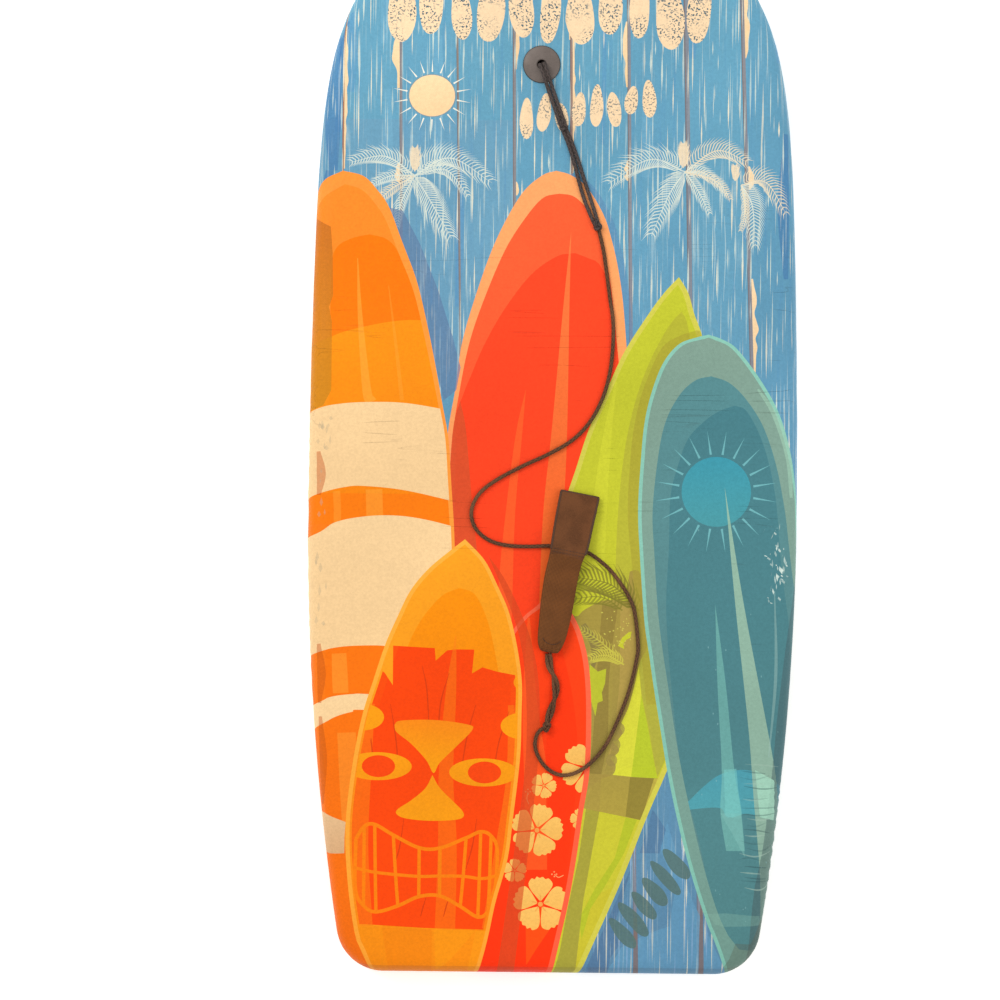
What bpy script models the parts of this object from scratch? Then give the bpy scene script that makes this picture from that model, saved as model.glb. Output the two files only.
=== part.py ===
"""Bodyboard with a leash and a wrist cuff lying on its deck.

Frame: metres, X across the board, +Y toward the nose, +Z up. The origin is the middle of the
flat bottom, on the surface that the board lies on.
"""

import math

import bmesh
import bpy
import numpy as np

# Board outline
LENGTH = 1.044
WIDTH = 0.474
WIDEST_Y = -0.084  # where the board is widest
AFT_RADIUS = 2.5  # of the side's arc, from the widest point to the tail
FORE_REACH = 0.640  # how far forward of the widest point the side curve would close
FORE_TAPER = 0.10
NOSE_POWER = 9.0
NOSE_FULLNESS = 1.065
TAIL_CORNER = 0.047
NOSE_CORNER = 0.060
SIDE_STATIONS = 30
STATION_CROWDING = 1.7
CORNER_STEPS = 7

# Board section
THICKNESS = 0.050
GAP = 0.0003  # between faces that touch
SLICK_THICKNESS = 0.0018
SLICK_LIP = 0.0012  # how far the slick's edge stands out past the cover
COVER_THICKNESS = 0.0030
RAIL_RADIUS = 0.015
RAIL_STEPS = 4
ROCKER_START = 0.380
NOSE_RISE = 0.012

# Leash plug
PLUG_X = -0.015
PLUG_Y = 0.354
PLUG_RADIUS = 0.018
PLUG_DOME = 0.0026
PLUG_HOLE_RADIUS = 0.0046
STEM_RADIUS = 0.0095
STEM_BORE = 0.0072
STEM_LENGTH = 0.020
BASE_TUBE_RADIUS = 0.012
BASE_TUBE_TOP = 0.043
BASE_FLANGE = 0.0016
PLUG_SIDES = 32
STOPPER_RADIUS = 0.006

# Leash
CORD_DIAMETER = 0.0038
STRAND_OFFSET = 0.0021  # of each strand from the middle of a doubled stretch
POINT_SPACING = 0.0115
DECK = THICKNESS
CORD_Z = DECK + GAP + CORD_DIAMETER / 2  # middle of a cord that lies on the deck

# Doubled plug string, in the upright plane from the plug's hole toward the hitch: distance, height
PLUG_STRING_ROUTE = [
    (0.0000, 0.0473), (0.0001, 0.0520), (0.0013, 0.0561), (0.0042, 0.0589), (0.0084, 0.0600),
    (0.0142, 0.0586), (0.0202, 0.0560), (0.0262, 0.0534), (0.0325, CORD_Z), (0.0420, CORD_Z),
    (0.0574, CORD_Z),
]
HITCH_KNOT = (0.0063, 0.2945)
END_LOOP_ROUTE = [
    (0.0087, 0.2884), (0.0135, 0.2770), (0.0193, 0.2600), (0.0242, 0.2430), (0.0295, 0.2265),
    (0.0345, 0.2130), (0.0375, 0.2050),
]
END_LOOP_BULGE = 0.0012  # how far the strands spread beside the cord knot
CORD_KNOT = (0.0400, 0.1990)
LEASH_ROUTE = [
    (0.0420, 0.1929), (0.0452, 0.1795), (0.0477, 0.1660), (0.0530, 0.1285), (0.0556, 0.1120),
    (0.0564, 0.0960), (0.0556, 0.0760), (0.0528, 0.0550), (0.0464, 0.0328), (0.0346, 0.0106),
    (0.0182, -0.0068), (-0.0048, -0.0206), (-0.0290, -0.0320), (-0.0526, -0.0448),
    (-0.0682, -0.0564), (-0.0764, -0.0690), (-0.0780, -0.0820), (-0.0724, -0.0946),
    (-0.0602, -0.1040), (-0.0442, -0.1084), (-0.0246, -0.1094), (-0.0026, -0.1086),
    (0.0160, -0.1098), (0.0322, -0.1140), (0.0434, -0.1206), (0.0556, -0.1312),
    (0.0656, -0.1436), (0.0740, -0.1570), (0.0796, -0.1716), (0.0830, -0.2000),
    (0.0820, -0.2166), (0.0740, -0.2504), (0.0588, -0.2886), (0.0484, -0.3062),
    (0.0360, -0.3190), (0.0230, -0.3268), (0.0104, -0.3286), (-0.0012, -0.3236),
    (-0.0098, -0.3140), (-0.0146, -0.3020), (-0.0136, -0.2915), (-0.0099, -0.2858),
]
CUFF_KNOT = (-0.0037, -0.2820)
CUFF_LOOP_ROUTE = [
    (-0.0026, -0.2755), (0.0016, -0.2620), (0.0047, -0.2490), (0.0034, -0.2360), (-0.0012, -0.2248),
    (-0.0028, -0.2120),
]
KNOT_SIZE = (0.0043, 0.0058, 0.0038)  # half sizes across, along and above the cord

# Wrist cuff, in its own frame: p along it from the fold, q across it to the right
CUFF_FOLD = (-0.0024, -0.2110)
CUFF_TURN = math.radians(10.64)  # clockwise from +Y, seen from above
CUFF_LENGTH = 0.156
BACK_END = 0.134  # where the back layer ends under the flap
PAD_START = 0.004
PAD_END = 0.098  # where the padded part meets the plain strap
PAD_THICKNESS = 0.0030
STRAP_THICKNESS = 0.0018
TAPE_THICKNESS = 0.0011
TAPE_START = 0.104
LAYER_GAP = 0.0005
HUMP_P = 0.1015  # where the leash passes under the cuff
HUMP_REACH = 0.026
HUMP_HEIGHT = CORD_DIAMETER + 0.0008
CUFF_CELL = 0.0065  # spacing of the cuff's mesh lines
# Places along the cuff, and there its middle's offset and its half width
CUFF_OUTLINE = [
    (0.000, -0.0002, 0.0080), (0.006, -0.0004, 0.0112), (0.014, -0.0004, 0.0132),
    (0.028, -0.0006, 0.0146), (0.050, -0.0016, 0.0158), (0.072, -0.0024, 0.0160),
    (0.090, -0.0018, 0.0160), (0.104, -0.0006, 0.0174), (0.130, -0.0006, 0.0182),
    (0.156, -0.0002, 0.0186),
]


def clear_scene():
    for old in list(bpy.data.objects):
        bpy.data.objects.remove(old)


def new_collection(name):
    made = bpy.data.collections.new(name)
    bpy.context.scene.collection.children.link(made)
    return made


def material(name, colour, roughness, metallic=0.0):
    made = bpy.data.materials.new(name)
    made.use_nodes = True
    shader = made.node_tree.nodes["Principled BSDF"]
    shader.inputs["Base Color"].default_value = (*colour, 1.0)
    shader.inputs["Roughness"].default_value = roughness
    shader.inputs["Metallic"].default_value = metallic
    return made


def add_object(name, data, collection, finish=None):
    made = bpy.data.objects.new(name, data)
    collection.objects.link(made)
    if finish is not None:
        data.materials.append(finish)
    return made


# ---------------------------------------------------------------- board


def side_half_width(y):
    """Half width of the full outline: an arc aft of the widest point, a fuller curve ahead of it."""
    ahead = np.asarray(y, float) - WIDEST_Y
    aft = WIDTH / 2 - ahead**2 / (2 * AFT_RADIUS)
    reach = np.clip(ahead, 0, None) / FORE_REACH
    taper = (1 - FORE_TAPER * reach**2) * (1 - reach**NOSE_POWER) ** NOSE_FULLNESS
    return np.where(ahead < 0, aft, WIDTH / 2 * taper)


def corner_arc(end_y, radius):
    """Arc tangent to the side curve and to the straight end edge, from the side to the end."""
    toward = math.copysign(1, end_y)
    y = np.linspace(end_y - toward * 4 * radius, end_y, 2001)
    x = side_half_width(y)
    slope = np.gradient(x, y)
    inward = np.stack([-np.ones_like(slope), slope], axis=1)
    inward /= np.linalg.norm(inward, axis=1)[:, None]
    off = toward * (end_y - (y + radius * inward[:, 1])) - radius
    i = int(np.argmin(np.abs(off)))
    start = math.atan2(-inward[i, 1], -inward[i, 0])
    turn = np.linspace(start, toward * math.pi / 2, CORNER_STEPS + 1)
    middle = (x[i] + radius * inward[i, 0], end_y - toward * radius)
    return np.stack([middle[0] + radius * np.cos(turn), middle[1] + radius * np.sin(turn)], axis=1)


def half_outline():
    """Right half of the outline, from the tail edge to the nose edge."""
    tail = corner_arc(-LENGTH / 2, TAIL_CORNER)[::-1]
    nose = corner_arc(LENGTH / 2, NOSE_CORNER)
    # Stations close up toward the nose, where the side curves most.
    along = 1 - (1 - np.linspace(0, 1, SIDE_STATIONS + 2)[1:-1]) ** STATION_CROWDING
    y = tail[-1, 1] + (nose[0, 1] - tail[-1, 1]) * along
    return np.concatenate([tail, np.stack([side_half_width(y), y], axis=1), nose])


def inset_outline(distance):
    """The half outline moved inward along its normals."""
    points = half_outline()
    tangent = np.gradient(points, axis=0)
    tangent[0] = (1, 0)
    tangent[-1] = (-1, 0)
    tangent /= np.linalg.norm(tangent, axis=1)[:, None]
    inward = np.stack([-tangent[:, 1], tangent[:, 0]], axis=1)
    return points + distance * inward


def rocker(y):
    """How far the nose lifts: nothing over the flat of the board, then a parabola."""
    ahead = np.clip((y - ROCKER_START) / (LENGTH / 2 - ROCKER_START), 0, None)
    return NOSE_RISE * ahead**2


def loft(name, rings, collection, finish):
    """Closed body through outlines inset and raised by each (inset, height), with strips across both ends."""
    half = len(half_outline())
    count = 2 * half
    points = []
    for inset, height in rings:
        right = inset_outline(inset)
        left = right[::-1] * (-1, 1)
        flat = np.concatenate([right, left])
        points.append(np.column_stack([flat, height + rocker(flat[:, 1])]))
    faces = []
    for ring in range(len(rings) - 1):
        low = ring * count
        for k in range(count):
            after = (k + 1) % count
            faces.append((low + k, low + after, low + count + after, low + count + k))
    for low, reverse in ((0, True), (count * (len(rings) - 1), False)):
        for k in range(half - 1):
            strip = [low + k, low + k + 1, low + count - 2 - k, low + count - 1 - k]
            faces.append(tuple(strip[::-1] if reverse else strip))
    mesh = bpy.data.meshes.new(name)
    mesh.from_pydata(np.concatenate(points).tolist(), [], faces)
    mesh.shade_smooth()
    mesh.set_sharp_from_angle(angle=math.radians(35))
    return add_object(name, mesh, collection, finish)


def rail(inset, radius, low, high):
    """Rings up a rail: a straight wall, then a quarter round onto the deck."""
    turn = np.linspace(0, math.pi / 2, RAIL_STEPS + 1)
    rings = [(inset, low)]
    for angle in turn:
        rings.append((inset + radius * (1 - math.cos(angle)), high - radius * (1 - math.sin(angle))))
    return rings


def cylinder_cutter(name, radius, low, high, collection):
    mesh = bpy.data.meshes.new(name)
    bm = bmesh.new()
    bmesh.ops.create_cone(
        bm, cap_ends=True, segments=PLUG_SIDES, radius1=radius, radius2=radius, depth=high - low
    )
    bm.to_mesh(mesh)
    bm.free()
    cutter = add_object(name, mesh, collection)
    cutter.location = (PLUG_X, PLUG_Y, (low + high) / 2)
    cutter.hide_render = True
    cutter.display_type = "WIRE"
    return cutter


def cut(target, cutter):
    modifier = target.modifiers.new("plug_hole", "BOOLEAN")
    modifier.operation = "DIFFERENCE"
    modifier.solver = "EXACT"
    modifier.object = cutter


def foam_core(parts, cutters):
    low = SLICK_THICKNESS + GAP
    wall = SLICK_LIP + COVER_THICKNESS + GAP
    top = THICKNESS - COVER_THICKNESS - GAP
    rings = rail(wall, RAIL_RADIUS - COVER_THICKNESS - GAP, low, top)
    core = loft("foam_core", rings, parts, material("bead_foam", (0.86, 0.86, 0.84), 0.8))
    hole = cylinder_cutter("core_hole", BASE_TUBE_RADIUS + GAP, -0.01, THICKNESS + 0.01, cutters)
    cut(core, hole)


def deck_cover(parts, cutters):
    low = SLICK_THICKNESS + GAP
    inner = rail(
        SLICK_LIP + COVER_THICKNESS,
        RAIL_RADIUS - COVER_THICKNESS,
        low,
        THICKNESS - COVER_THICKNESS,
    )
    outer = rail(SLICK_LIP, RAIL_RADIUS, low, THICKNESS)
    finish = material("printed_cover", (0.90, 0.35, 0.10), 0.6)
    cover = loft("deck_cover", inner[::-1] + outer, parts, finish)
    hole = cylinder_cutter("cover_hole", STEM_RADIUS + GAP, -0.01, THICKNESS + 0.01, cutters)
    cut(cover, hole)


def bottom_slick(parts, cutters):
    rings = [(0.0, 0.0), (0.0, SLICK_THICKNESS)]
    slick = loft("bottom_slick", rings, parts, material("slick_sheet", (0.03, 0.03, 0.035), 0.35))
    hole = cylinder_cutter("slick_hole", PLUG_RADIUS + GAP, -0.01, 0.01, cutters)
    cut(slick, hole)


# ---------------------------------------------------------------- leash plug


def turned(name, profile, place, closed, collection, finish):
    """Solid turned about Z from (radius, height) points that run down the outer side."""
    mesh = bpy.data.meshes.new(name)
    count = len(profile)
    edges = [(k, (k + 1) % count) for k in range(count if closed else count - 1)]
    mesh.from_pydata([(radius, 0.0, height) for radius, height in profile], edges, [])
    made = add_object(name, mesh, collection, finish)
    made.location = place
    screw = made.modifiers.new("turn", "SCREW")
    screw.steps = PLUG_SIDES
    screw.render_steps = PLUG_SIDES
    screw.use_merge_vertices = True
    screw.merge_threshold = 0.00001
    return made


def plug_cap(parts):
    """Domed disc and its hollow threaded stem, with the string's hole through the middle."""
    underside = GAP
    profile = [
        (PLUG_HOLE_RADIUS + 0.0006, PLUG_DOME),
        (0.0100, PLUG_DOME - 0.0001),
        (0.0145, PLUG_DOME - 0.0005),
        (PLUG_RADIUS - 0.0006, PLUG_DOME - 0.0011),
        (PLUG_RADIUS, PLUG_DOME - 0.0017),
        (PLUG_RADIUS, underside),
        (STEM_RADIUS, underside),
        (STEM_RADIUS, -STEM_LENGTH),
        (STEM_BORE, -STEM_LENGTH),
        (STEM_BORE, -0.0032),
        (PLUG_HOLE_RADIUS, -0.0014),
        (PLUG_HOLE_RADIUS, PLUG_DOME - 0.0006),
    ]
    finish = material("plug_plastic", (0.15, 0.13, 0.12), 0.5)
    turned("plug_cap", profile, (PLUG_X, PLUG_Y, DECK), True, parts, finish)


def plug_base(parts):
    """Flange that lies flush in the slick, with the tube that the cap's stem screws into."""
    bore = STEM_RADIUS + GAP
    top = SLICK_THICKNESS
    profile = [
        (0.0, top + 0.0012),
        (bore, top + 0.0012),
        (bore, BASE_TUBE_TOP),
        (BASE_TUBE_RADIUS, BASE_TUBE_TOP),
        (BASE_TUBE_RADIUS, top),
        (PLUG_RADIUS, top),
        (PLUG_RADIUS, top - BASE_FLANGE),
        (0.0, top - BASE_FLANGE),
    ]
    finish = material("plug_base_plastic", (0.04, 0.04, 0.04), 0.5)
    turned("plug_base", profile, (PLUG_X, PLUG_Y, 0.0), False, parts, finish)


# ---------------------------------------------------------------- leash


def catmull_rom(points, per_span=12):
    """Smooth curve through the points: on each span a cubic whose end slopes come from its neighbours."""
    points = np.asarray(points, float)
    before = np.concatenate([[2 * points[0] - points[1]], points[:-1]])
    after = np.concatenate([points[1:], [2 * points[-1] - points[-2]]])
    slope = (after - before) / 2
    t = np.linspace(0, 1, per_span, endpoint=False)[:, None, None]
    a, b = points[:-1], points[1:]
    ta, tb = slope[:-1], slope[1:]
    spans = (
        (2 * t**3 - 3 * t**2 + 1) * a
        + (t**3 - 2 * t**2 + t) * ta
        + (3 * t**2 - 2 * t**3) * b
        + (t**3 - t**2) * tb
    )
    return np.concatenate([spans.transpose(1, 0, 2).reshape(-1, points.shape[1]), points[-1:]])


def evenly(points, spacing):
    """Points a nearly equal distance apart along a polyline, both ends kept."""
    run = np.concatenate([[0], np.cumsum(np.linalg.norm(np.diff(points, axis=0), axis=1))])
    count = max(3, round(run[-1] / spacing) + 1)
    at = np.linspace(0, run[-1], count)
    return np.stack([np.interp(at, run, points[:, k]) for k in range(points.shape[1])], axis=1)


def beside(points, offset):
    """A line moved sideways in plan by offset, to its right."""
    tangent = np.gradient(points[:, :2], axis=0)
    still = np.linalg.norm(tangent, axis=1) < 1e-6
    tangent[still] = tangent[~still][0]
    tangent /= np.linalg.norm(tangent, axis=1)[:, None]
    moved = points.copy()
    moved[:, 0] += tangent[:, 1] * offset
    moved[:, 1] -= tangent[:, 0] * offset
    return moved


def cord(name, points, collection, finish):
    data = bpy.data.curves.new(name, "CURVE")
    data.dimensions = "3D"
    data.bevel_depth = CORD_DIAMETER / 2
    data.bevel_resolution = 2
    data.use_fill_caps = True
    spline = data.splines.new("POLY")
    spline.points.add(len(points) - 1)
    for point, place in zip(spline.points, points, strict=True):
        point.co = (*place, 1.0)
    return add_object(name, data, collection, finish)


def knot(name, place, direction, collection, finish):
    """Rounded body of a pulled-up knot, longer along the cord than across it."""
    mesh = bpy.data.meshes.new(name)
    bm = bmesh.new()
    bmesh.ops.create_uvsphere(bm, u_segments=12, v_segments=8, radius=1.0)
    for vertex in bm.verts:
        vertex.co = [length * half for length, half in zip(vertex.co, KNOT_SIZE, strict=True)]
    bm.to_mesh(mesh)
    bm.free()
    mesh.shade_smooth()
    made = add_object(name, mesh, collection, finish)
    made.location = (*place, DECK + GAP + KNOT_SIZE[2])
    made.rotation_euler = (0.0, 0.0, math.atan2(-direction[0], direction[1]))
    return made


def on_deck(points):
    points = np.asarray(points, float)
    return np.column_stack([points, np.full(len(points), CORD_Z)])


def plug_string_line():
    """Middle of the doubled plug string: up through the plug's hole, over its rim and to the hitch."""
    route = np.asarray(PLUG_STRING_ROUTE)
    across = np.subtract(HITCH_KNOT, (PLUG_X, PLUG_Y))
    across /= np.linalg.norm(across)
    plan = np.asarray((PLUG_X, PLUG_Y)) + route[:, :1] * across
    return catmull_rom(np.column_stack([plan, route[:, 1]]))


def doubled(name, line, offset, collection, finish):
    """The two strands of a doubled stretch, side by side."""
    for side, sign in (("left", -1), ("right", 1)):
        cord(f"{name}_{side}", beside(line, sign * offset), collection, finish)


def leash(parts):
    finish = material("leash_cord", (0.07, 0.055, 0.05), 0.7)
    stopper = turned_sphere("plug_stopper_knot", STOPPER_RADIUS, parts, finish)
    stopper.location = (PLUG_X, PLUG_Y, DECK - 0.0032 - STOPPER_RADIUS)
    doubled("plug_string", evenly(plug_string_line(), 0.005), STRAND_OFFSET, parts, finish)
    knot("hitch_knot", HITCH_KNOT, (0.33, -0.94), parts, finish)

    loop = evenly(catmull_rom(on_deck(END_LOOP_ROUTE)), POINT_SPACING)
    along = np.linspace(0, 1, len(loop))
    spread = STRAND_OFFSET + END_LOOP_BULGE * np.sin(math.pi * along**2)
    doubled("end_loop", loop, spread, parts, finish)
    knot("cord_knot", CORD_KNOT, (0.33, -0.94), parts, finish)

    cord("leash_cord", evenly(catmull_rom(on_deck(LEASH_ROUTE)), POINT_SPACING), parts, finish)
    knot("cuff_knot", CUFF_KNOT, (0.17, 0.98), parts, finish)
    line = evenly(catmull_rom(on_deck(CUFF_LOOP_ROUTE)), 0.008)
    doubled("cuff_loop", line, STRAND_OFFSET, parts, finish)


def turned_sphere(name, radius, collection, finish):
    mesh = bpy.data.meshes.new(name)
    bm = bmesh.new()
    bmesh.ops.create_uvsphere(bm, u_segments=12, v_segments=8, radius=radius)
    bm.to_mesh(mesh)
    bm.free()
    mesh.shade_smooth()
    return add_object(name, mesh, collection, finish)


# ---------------------------------------------------------------- wrist cuff


def cuff_rise(p):
    """How far a layer is lifted where it crosses the leash: a smooth hump."""
    away = np.clip(np.abs(np.asarray(p) - HUMP_P) / HUMP_REACH, 0, 1)
    return HUMP_HEIGHT * (1 + np.cos(math.pi * away)) / 2


def cuff_point(p, q, z):
    """World place of a point given along and across the cuff."""
    sine, cosine = math.sin(CUFF_TURN), math.cos(CUFF_TURN)
    x = CUFF_FOLD[0] + p * sine + q * cosine
    y = CUFF_FOLD[1] + p * cosine - q * sine
    return np.stack([x, y, z], axis=-1)


def ribbon(name, start, end, low, thickness, collection, finish, narrower=0.0):
    """Flat layer of the cuff from start to end along it, thickened upward from its underside."""
    places, middles, halves = np.transpose(CUFF_OUTLINE)
    rows = max(2, round((end - start) / CUFF_CELL)) + 1
    p = np.linspace(start, end, rows)[:, None]
    across = np.array([-1.0, 0.0, 1.0])[None, :]
    half = np.interp(p, places, halves) - narrower
    q = np.interp(p, places, middles) + half * across
    p = np.broadcast_to(p, q.shape)
    points = cuff_point(p, q, DECK + low + cuff_rise(p)).reshape(-1, 3)
    faces = []
    for row in range(rows - 1):
        for column in range(2):
            k = row * 3 + column
            faces.append((k, k + 1, k + 4, k + 3))
    mesh = bpy.data.meshes.new(name)
    mesh.from_pydata(points.tolist(), [], faces)
    made = add_object(name, mesh, collection, finish)
    solid = made.modifiers.new("thickness", "SOLIDIFY")
    solid.thickness = thickness
    solid.offset = 1.0
    return made


def wrist_cuff(parts):
    padding = material("cuff_mesh", (0.13, 0.055, 0.025), 0.85)
    strap = material("cuff_strap", (0.14, 0.05, 0.02), 0.8)
    tape = material("cuff_tape", (0.06, 0.03, 0.02), 0.9)

    back_low = GAP
    tape_low = back_low + PAD_THICKNESS + LAYER_GAP
    hook_low = tape_low + TAPE_THICKNESS + LAYER_GAP
    flap_low = hook_low + TAPE_THICKNESS + LAYER_GAP
    ribbon("cuff_back_pad", PAD_START, BACK_END, back_low, PAD_THICKNESS, parts, padding)
    ribbon("cuff_loop_tape", TAPE_START, BACK_END, tape_low, TAPE_THICKNESS, parts, tape, 0.001)
    ribbon("cuff_hook_tape", TAPE_START, CUFF_LENGTH - 0.018, hook_low, TAPE_THICKNESS, parts, tape, 0.001)
    ribbon("cuff_flap", PAD_END + GAP, CUFF_LENGTH, flap_low, STRAP_THICKNESS, parts, strap)
    ribbon("cuff_front_pad", PAD_START, PAD_END, flap_low, PAD_THICKNESS, parts, padding)


def main():
    clear_scene()
    parts = new_collection("bodyboard")
    cutters = new_collection("cutters")
    foam_core(parts, cutters)
    deck_cover(parts, cutters)
    bottom_slick(parts, cutters)
    plug_cap(parts)
    plug_base(parts)
    leash(parts)
    wrist_cuff(parts)


main()
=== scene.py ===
"""Looks of a bodyboard with its leash and wrist cuff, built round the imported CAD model.

Frame: metres, X across the board, +Y toward the nose, +Z up. The origin is the middle of the
flat bottom.
"""

import math

import bpy
import numpy as np
from mathutils.geometry import delaunay_2d_cdt
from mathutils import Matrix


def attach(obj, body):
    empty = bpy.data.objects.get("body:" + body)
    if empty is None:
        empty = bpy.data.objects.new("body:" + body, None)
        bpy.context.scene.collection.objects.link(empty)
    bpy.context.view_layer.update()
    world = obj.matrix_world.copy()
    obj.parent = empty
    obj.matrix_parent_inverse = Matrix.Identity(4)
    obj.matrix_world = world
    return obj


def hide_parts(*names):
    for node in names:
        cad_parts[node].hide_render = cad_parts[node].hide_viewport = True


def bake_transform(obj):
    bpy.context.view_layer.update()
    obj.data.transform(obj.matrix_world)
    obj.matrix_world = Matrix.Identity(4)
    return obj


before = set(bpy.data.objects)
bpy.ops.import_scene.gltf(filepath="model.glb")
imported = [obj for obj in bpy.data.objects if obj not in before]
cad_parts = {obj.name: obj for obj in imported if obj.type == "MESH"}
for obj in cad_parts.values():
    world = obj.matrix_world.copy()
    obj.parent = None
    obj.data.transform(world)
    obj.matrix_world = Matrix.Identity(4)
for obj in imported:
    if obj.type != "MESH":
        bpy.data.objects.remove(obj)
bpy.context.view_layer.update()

bl_info = {
    "name": "Bodyboard",
    "version": (1, 0, 0),
    "blender": (4, 5, 0),
    "location": "View3D > Sidebar > Bodyboard",
    "description": "Builds a printed bodyboard with its leash and wrist cuff",
    "category": "Object",
}

# Board outline and section, as in the CAD
LENGTH = 1.044
WIDTH = 0.474
WIDEST_Y = -0.084
AFT_RADIUS = 2.5
FORE_REACH = 0.640
FORE_TAPER = 0.10
NOSE_POWER = 9.0
NOSE_FULLNESS = 1.065
TAIL_CORNER = 0.047
NOSE_CORNER = 0.060
DECK = 0.050
GAP = 0.0003
SLICK_THICKNESS = 0.0018
SLICK_LIP = 0.0012
RAIL_RADIUS = 0.015
ROCKER_START = 0.380
NOSE_RISE = 0.012

# Leash plug
PLUG = (-0.015, 0.354)
PLUG_RADIUS = 0.018
STEM_RADIUS = 0.0095

# Leash: routes in plan, except the plug string's, which is (distance from the plug, height)
CORD_DIAMETER = 0.0038
STRAND_OFFSET = 0.0021
CORD_Z = DECK + GAP + CORD_DIAMETER / 2
PLUG_STRING_ROUTE = [
    (0.0000, 0.0473), (0.0001, 0.0520), (0.0013, 0.0561), (0.0042, 0.0589), (0.0084, 0.0600),
    (0.0142, 0.0586), (0.0202, 0.0560), (0.0262, 0.0534), (0.0325, CORD_Z), (0.0420, CORD_Z),
    (0.0574, CORD_Z),
]
HITCH_KNOT = (0.0063, 0.2945)
END_LOOP_ROUTE = [
    (0.0087, 0.2884), (0.0135, 0.2770), (0.0193, 0.2600), (0.0242, 0.2430), (0.0295, 0.2265),
    (0.0345, 0.2130), (0.0375, 0.2050),
]
END_LOOP_BULGE = 0.0012
CORD_KNOT = (0.0400, 0.1990)
LEASH_ROUTE = [
    (0.0420, 0.1929), (0.0452, 0.1795), (0.0477, 0.1660), (0.0530, 0.1285), (0.0556, 0.1120),
    (0.0564, 0.0960), (0.0556, 0.0760), (0.0528, 0.0550), (0.0464, 0.0328), (0.0346, 0.0106),
    (0.0182, -0.0068), (-0.0048, -0.0206), (-0.0290, -0.0320), (-0.0526, -0.0448),
    (-0.0682, -0.0564), (-0.0764, -0.0690), (-0.0780, -0.0820), (-0.0724, -0.0946),
    (-0.0602, -0.1040), (-0.0442, -0.1084), (-0.0246, -0.1094), (-0.0026, -0.1086),
    (0.0160, -0.1098), (0.0322, -0.1140), (0.0434, -0.1206), (0.0556, -0.1312),
    (0.0656, -0.1436), (0.0740, -0.1570), (0.0796, -0.1716), (0.0830, -0.2000),
    (0.0820, -0.2166), (0.0740, -0.2504), (0.0588, -0.2886), (0.0484, -0.3062),
    (0.0360, -0.3190), (0.0230, -0.3268), (0.0104, -0.3286), (-0.0012, -0.3236),
    (-0.0098, -0.3140), (-0.0146, -0.3020), (-0.0136, -0.2915), (-0.0099, -0.2858),
]
CUFF_KNOT = (-0.0037, -0.2820)
CUFF_LOOP_ROUTE = [
    (-0.0026, -0.2755), (0.0016, -0.2620), (0.0047, -0.2490), (0.0034, -0.2360), (-0.0012, -0.2248),
    (-0.0028, -0.2120),
]
KNOT_SIZE = (0.0043, 0.0058, 0.0038)

# Wrist cuff, in its own frame: p along it from the fold, q across it to the right
CUFF_FOLD = (-0.0024, -0.2110)
CUFF_TURN = math.radians(10.64)
CUFF_LENGTH = 0.156
HUMP_P = 0.1015
HUMP_REACH = 0.026
HUMP_HEIGHT = CORD_DIAMETER + 0.0008
CUFF_OUTLINE = [
    (0.000, -0.0002, 0.0080), (0.006, -0.0004, 0.0112), (0.014, -0.0004, 0.0132),
    (0.028, -0.0006, 0.0146), (0.050, -0.0016, 0.0158), (0.072, -0.0024, 0.0160),
    (0.090, -0.0018, 0.0160), (0.104, -0.0006, 0.0174), (0.130, -0.0006, 0.0182),
    (0.156, -0.0002, 0.0186),
]


# ---------------------------------------------------------------- colours and materials


def linear(code):
    """Linear RGBA of an sRGB hex colour."""
    srgb = np.array([int(code[k : k + 2], 16) for k in (1, 3, 5)]) / 255
    rgb = np.where(srgb <= 0.04045, srgb / 12.92, ((srgb + 0.055) / 1.055) ** 2.4)
    return (*rgb.tolist(), 1.0)


def tint(name, description, code):
    """A colour that the user can change."""
    return bpy.props.FloatVectorProperty(
        name=name, description=description, subtype="COLOR", size=4, min=0, max=1,
        default=linear(code),
    )


def size(name, description, default, low=0.0, high=1.0):
    """A length that the user can change."""
    return bpy.props.FloatProperty(
        name=name, description=description, default=default, min=low, max=high, unit="LENGTH",
        precision=4,
    )


def kind(name, inputs=range(5), output=0, **settings):
    """A kind of shader node: its type, its settings, the inputs that its values go to in turn, and the
    output that is used (a slice for several)."""
    return "ShaderNode" + name, settings, inputs, output


TIMES = kind("Math", operation="MULTIPLY")
TIMES_PLUS = kind("Math", operation="MULTIPLY_ADD")
PLUS = kind("Math", operation="ADD")
MINUS = kind("Math", operation="SUBTRACT")
HIGHER = kind("Math", operation="MAXIMUM")
ABSOLUTE = kind("Math", operation="ABSOLUTE")
SINE = kind("Math", operation="SINE")
SMOOTH_RUN = kind("MapRange", interpolation_type="SMOOTHSTEP")  # value, from low, high, to low, high
NOISE = kind("TexNoise", ("Vector", "Scale", "Detail", "Roughness", "Distortion"))
STRETCH = kind("Mapping", ("Vector", "Scale"))
MIX = kind("Mix", (0, 6, 7), 2, data_type="RGBA")  # share, first colour, second colour
SHADE = kind("Mix", (0, 6, 7), 2, data_type="RGBA", blend_type="MULTIPLY")
SPLIT = kind("SeparateXYZ", output=slice(0, 3))
CLOTH_UV = kind("UVMap", uv_map="cloth")
PLACE = kind("TexCoord", output="Object")


def node(tree, kind_of, *values):
    """Adds a shader node of a kind and returns its output. Each value is a number, a colour or a socket."""
    name, settings, inputs, output = kind_of
    made = tree.nodes.new(name)
    for key, value in settings.items():
        setattr(made, key, value)
    for spot, value in zip(inputs, values, strict=False):
        if isinstance(value, bpy.types.NodeSocket):
            tree.links.new(value, made.inputs[spot])
        else:
            made.inputs[spot].default_value = value
    return made.outputs[output]


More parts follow.
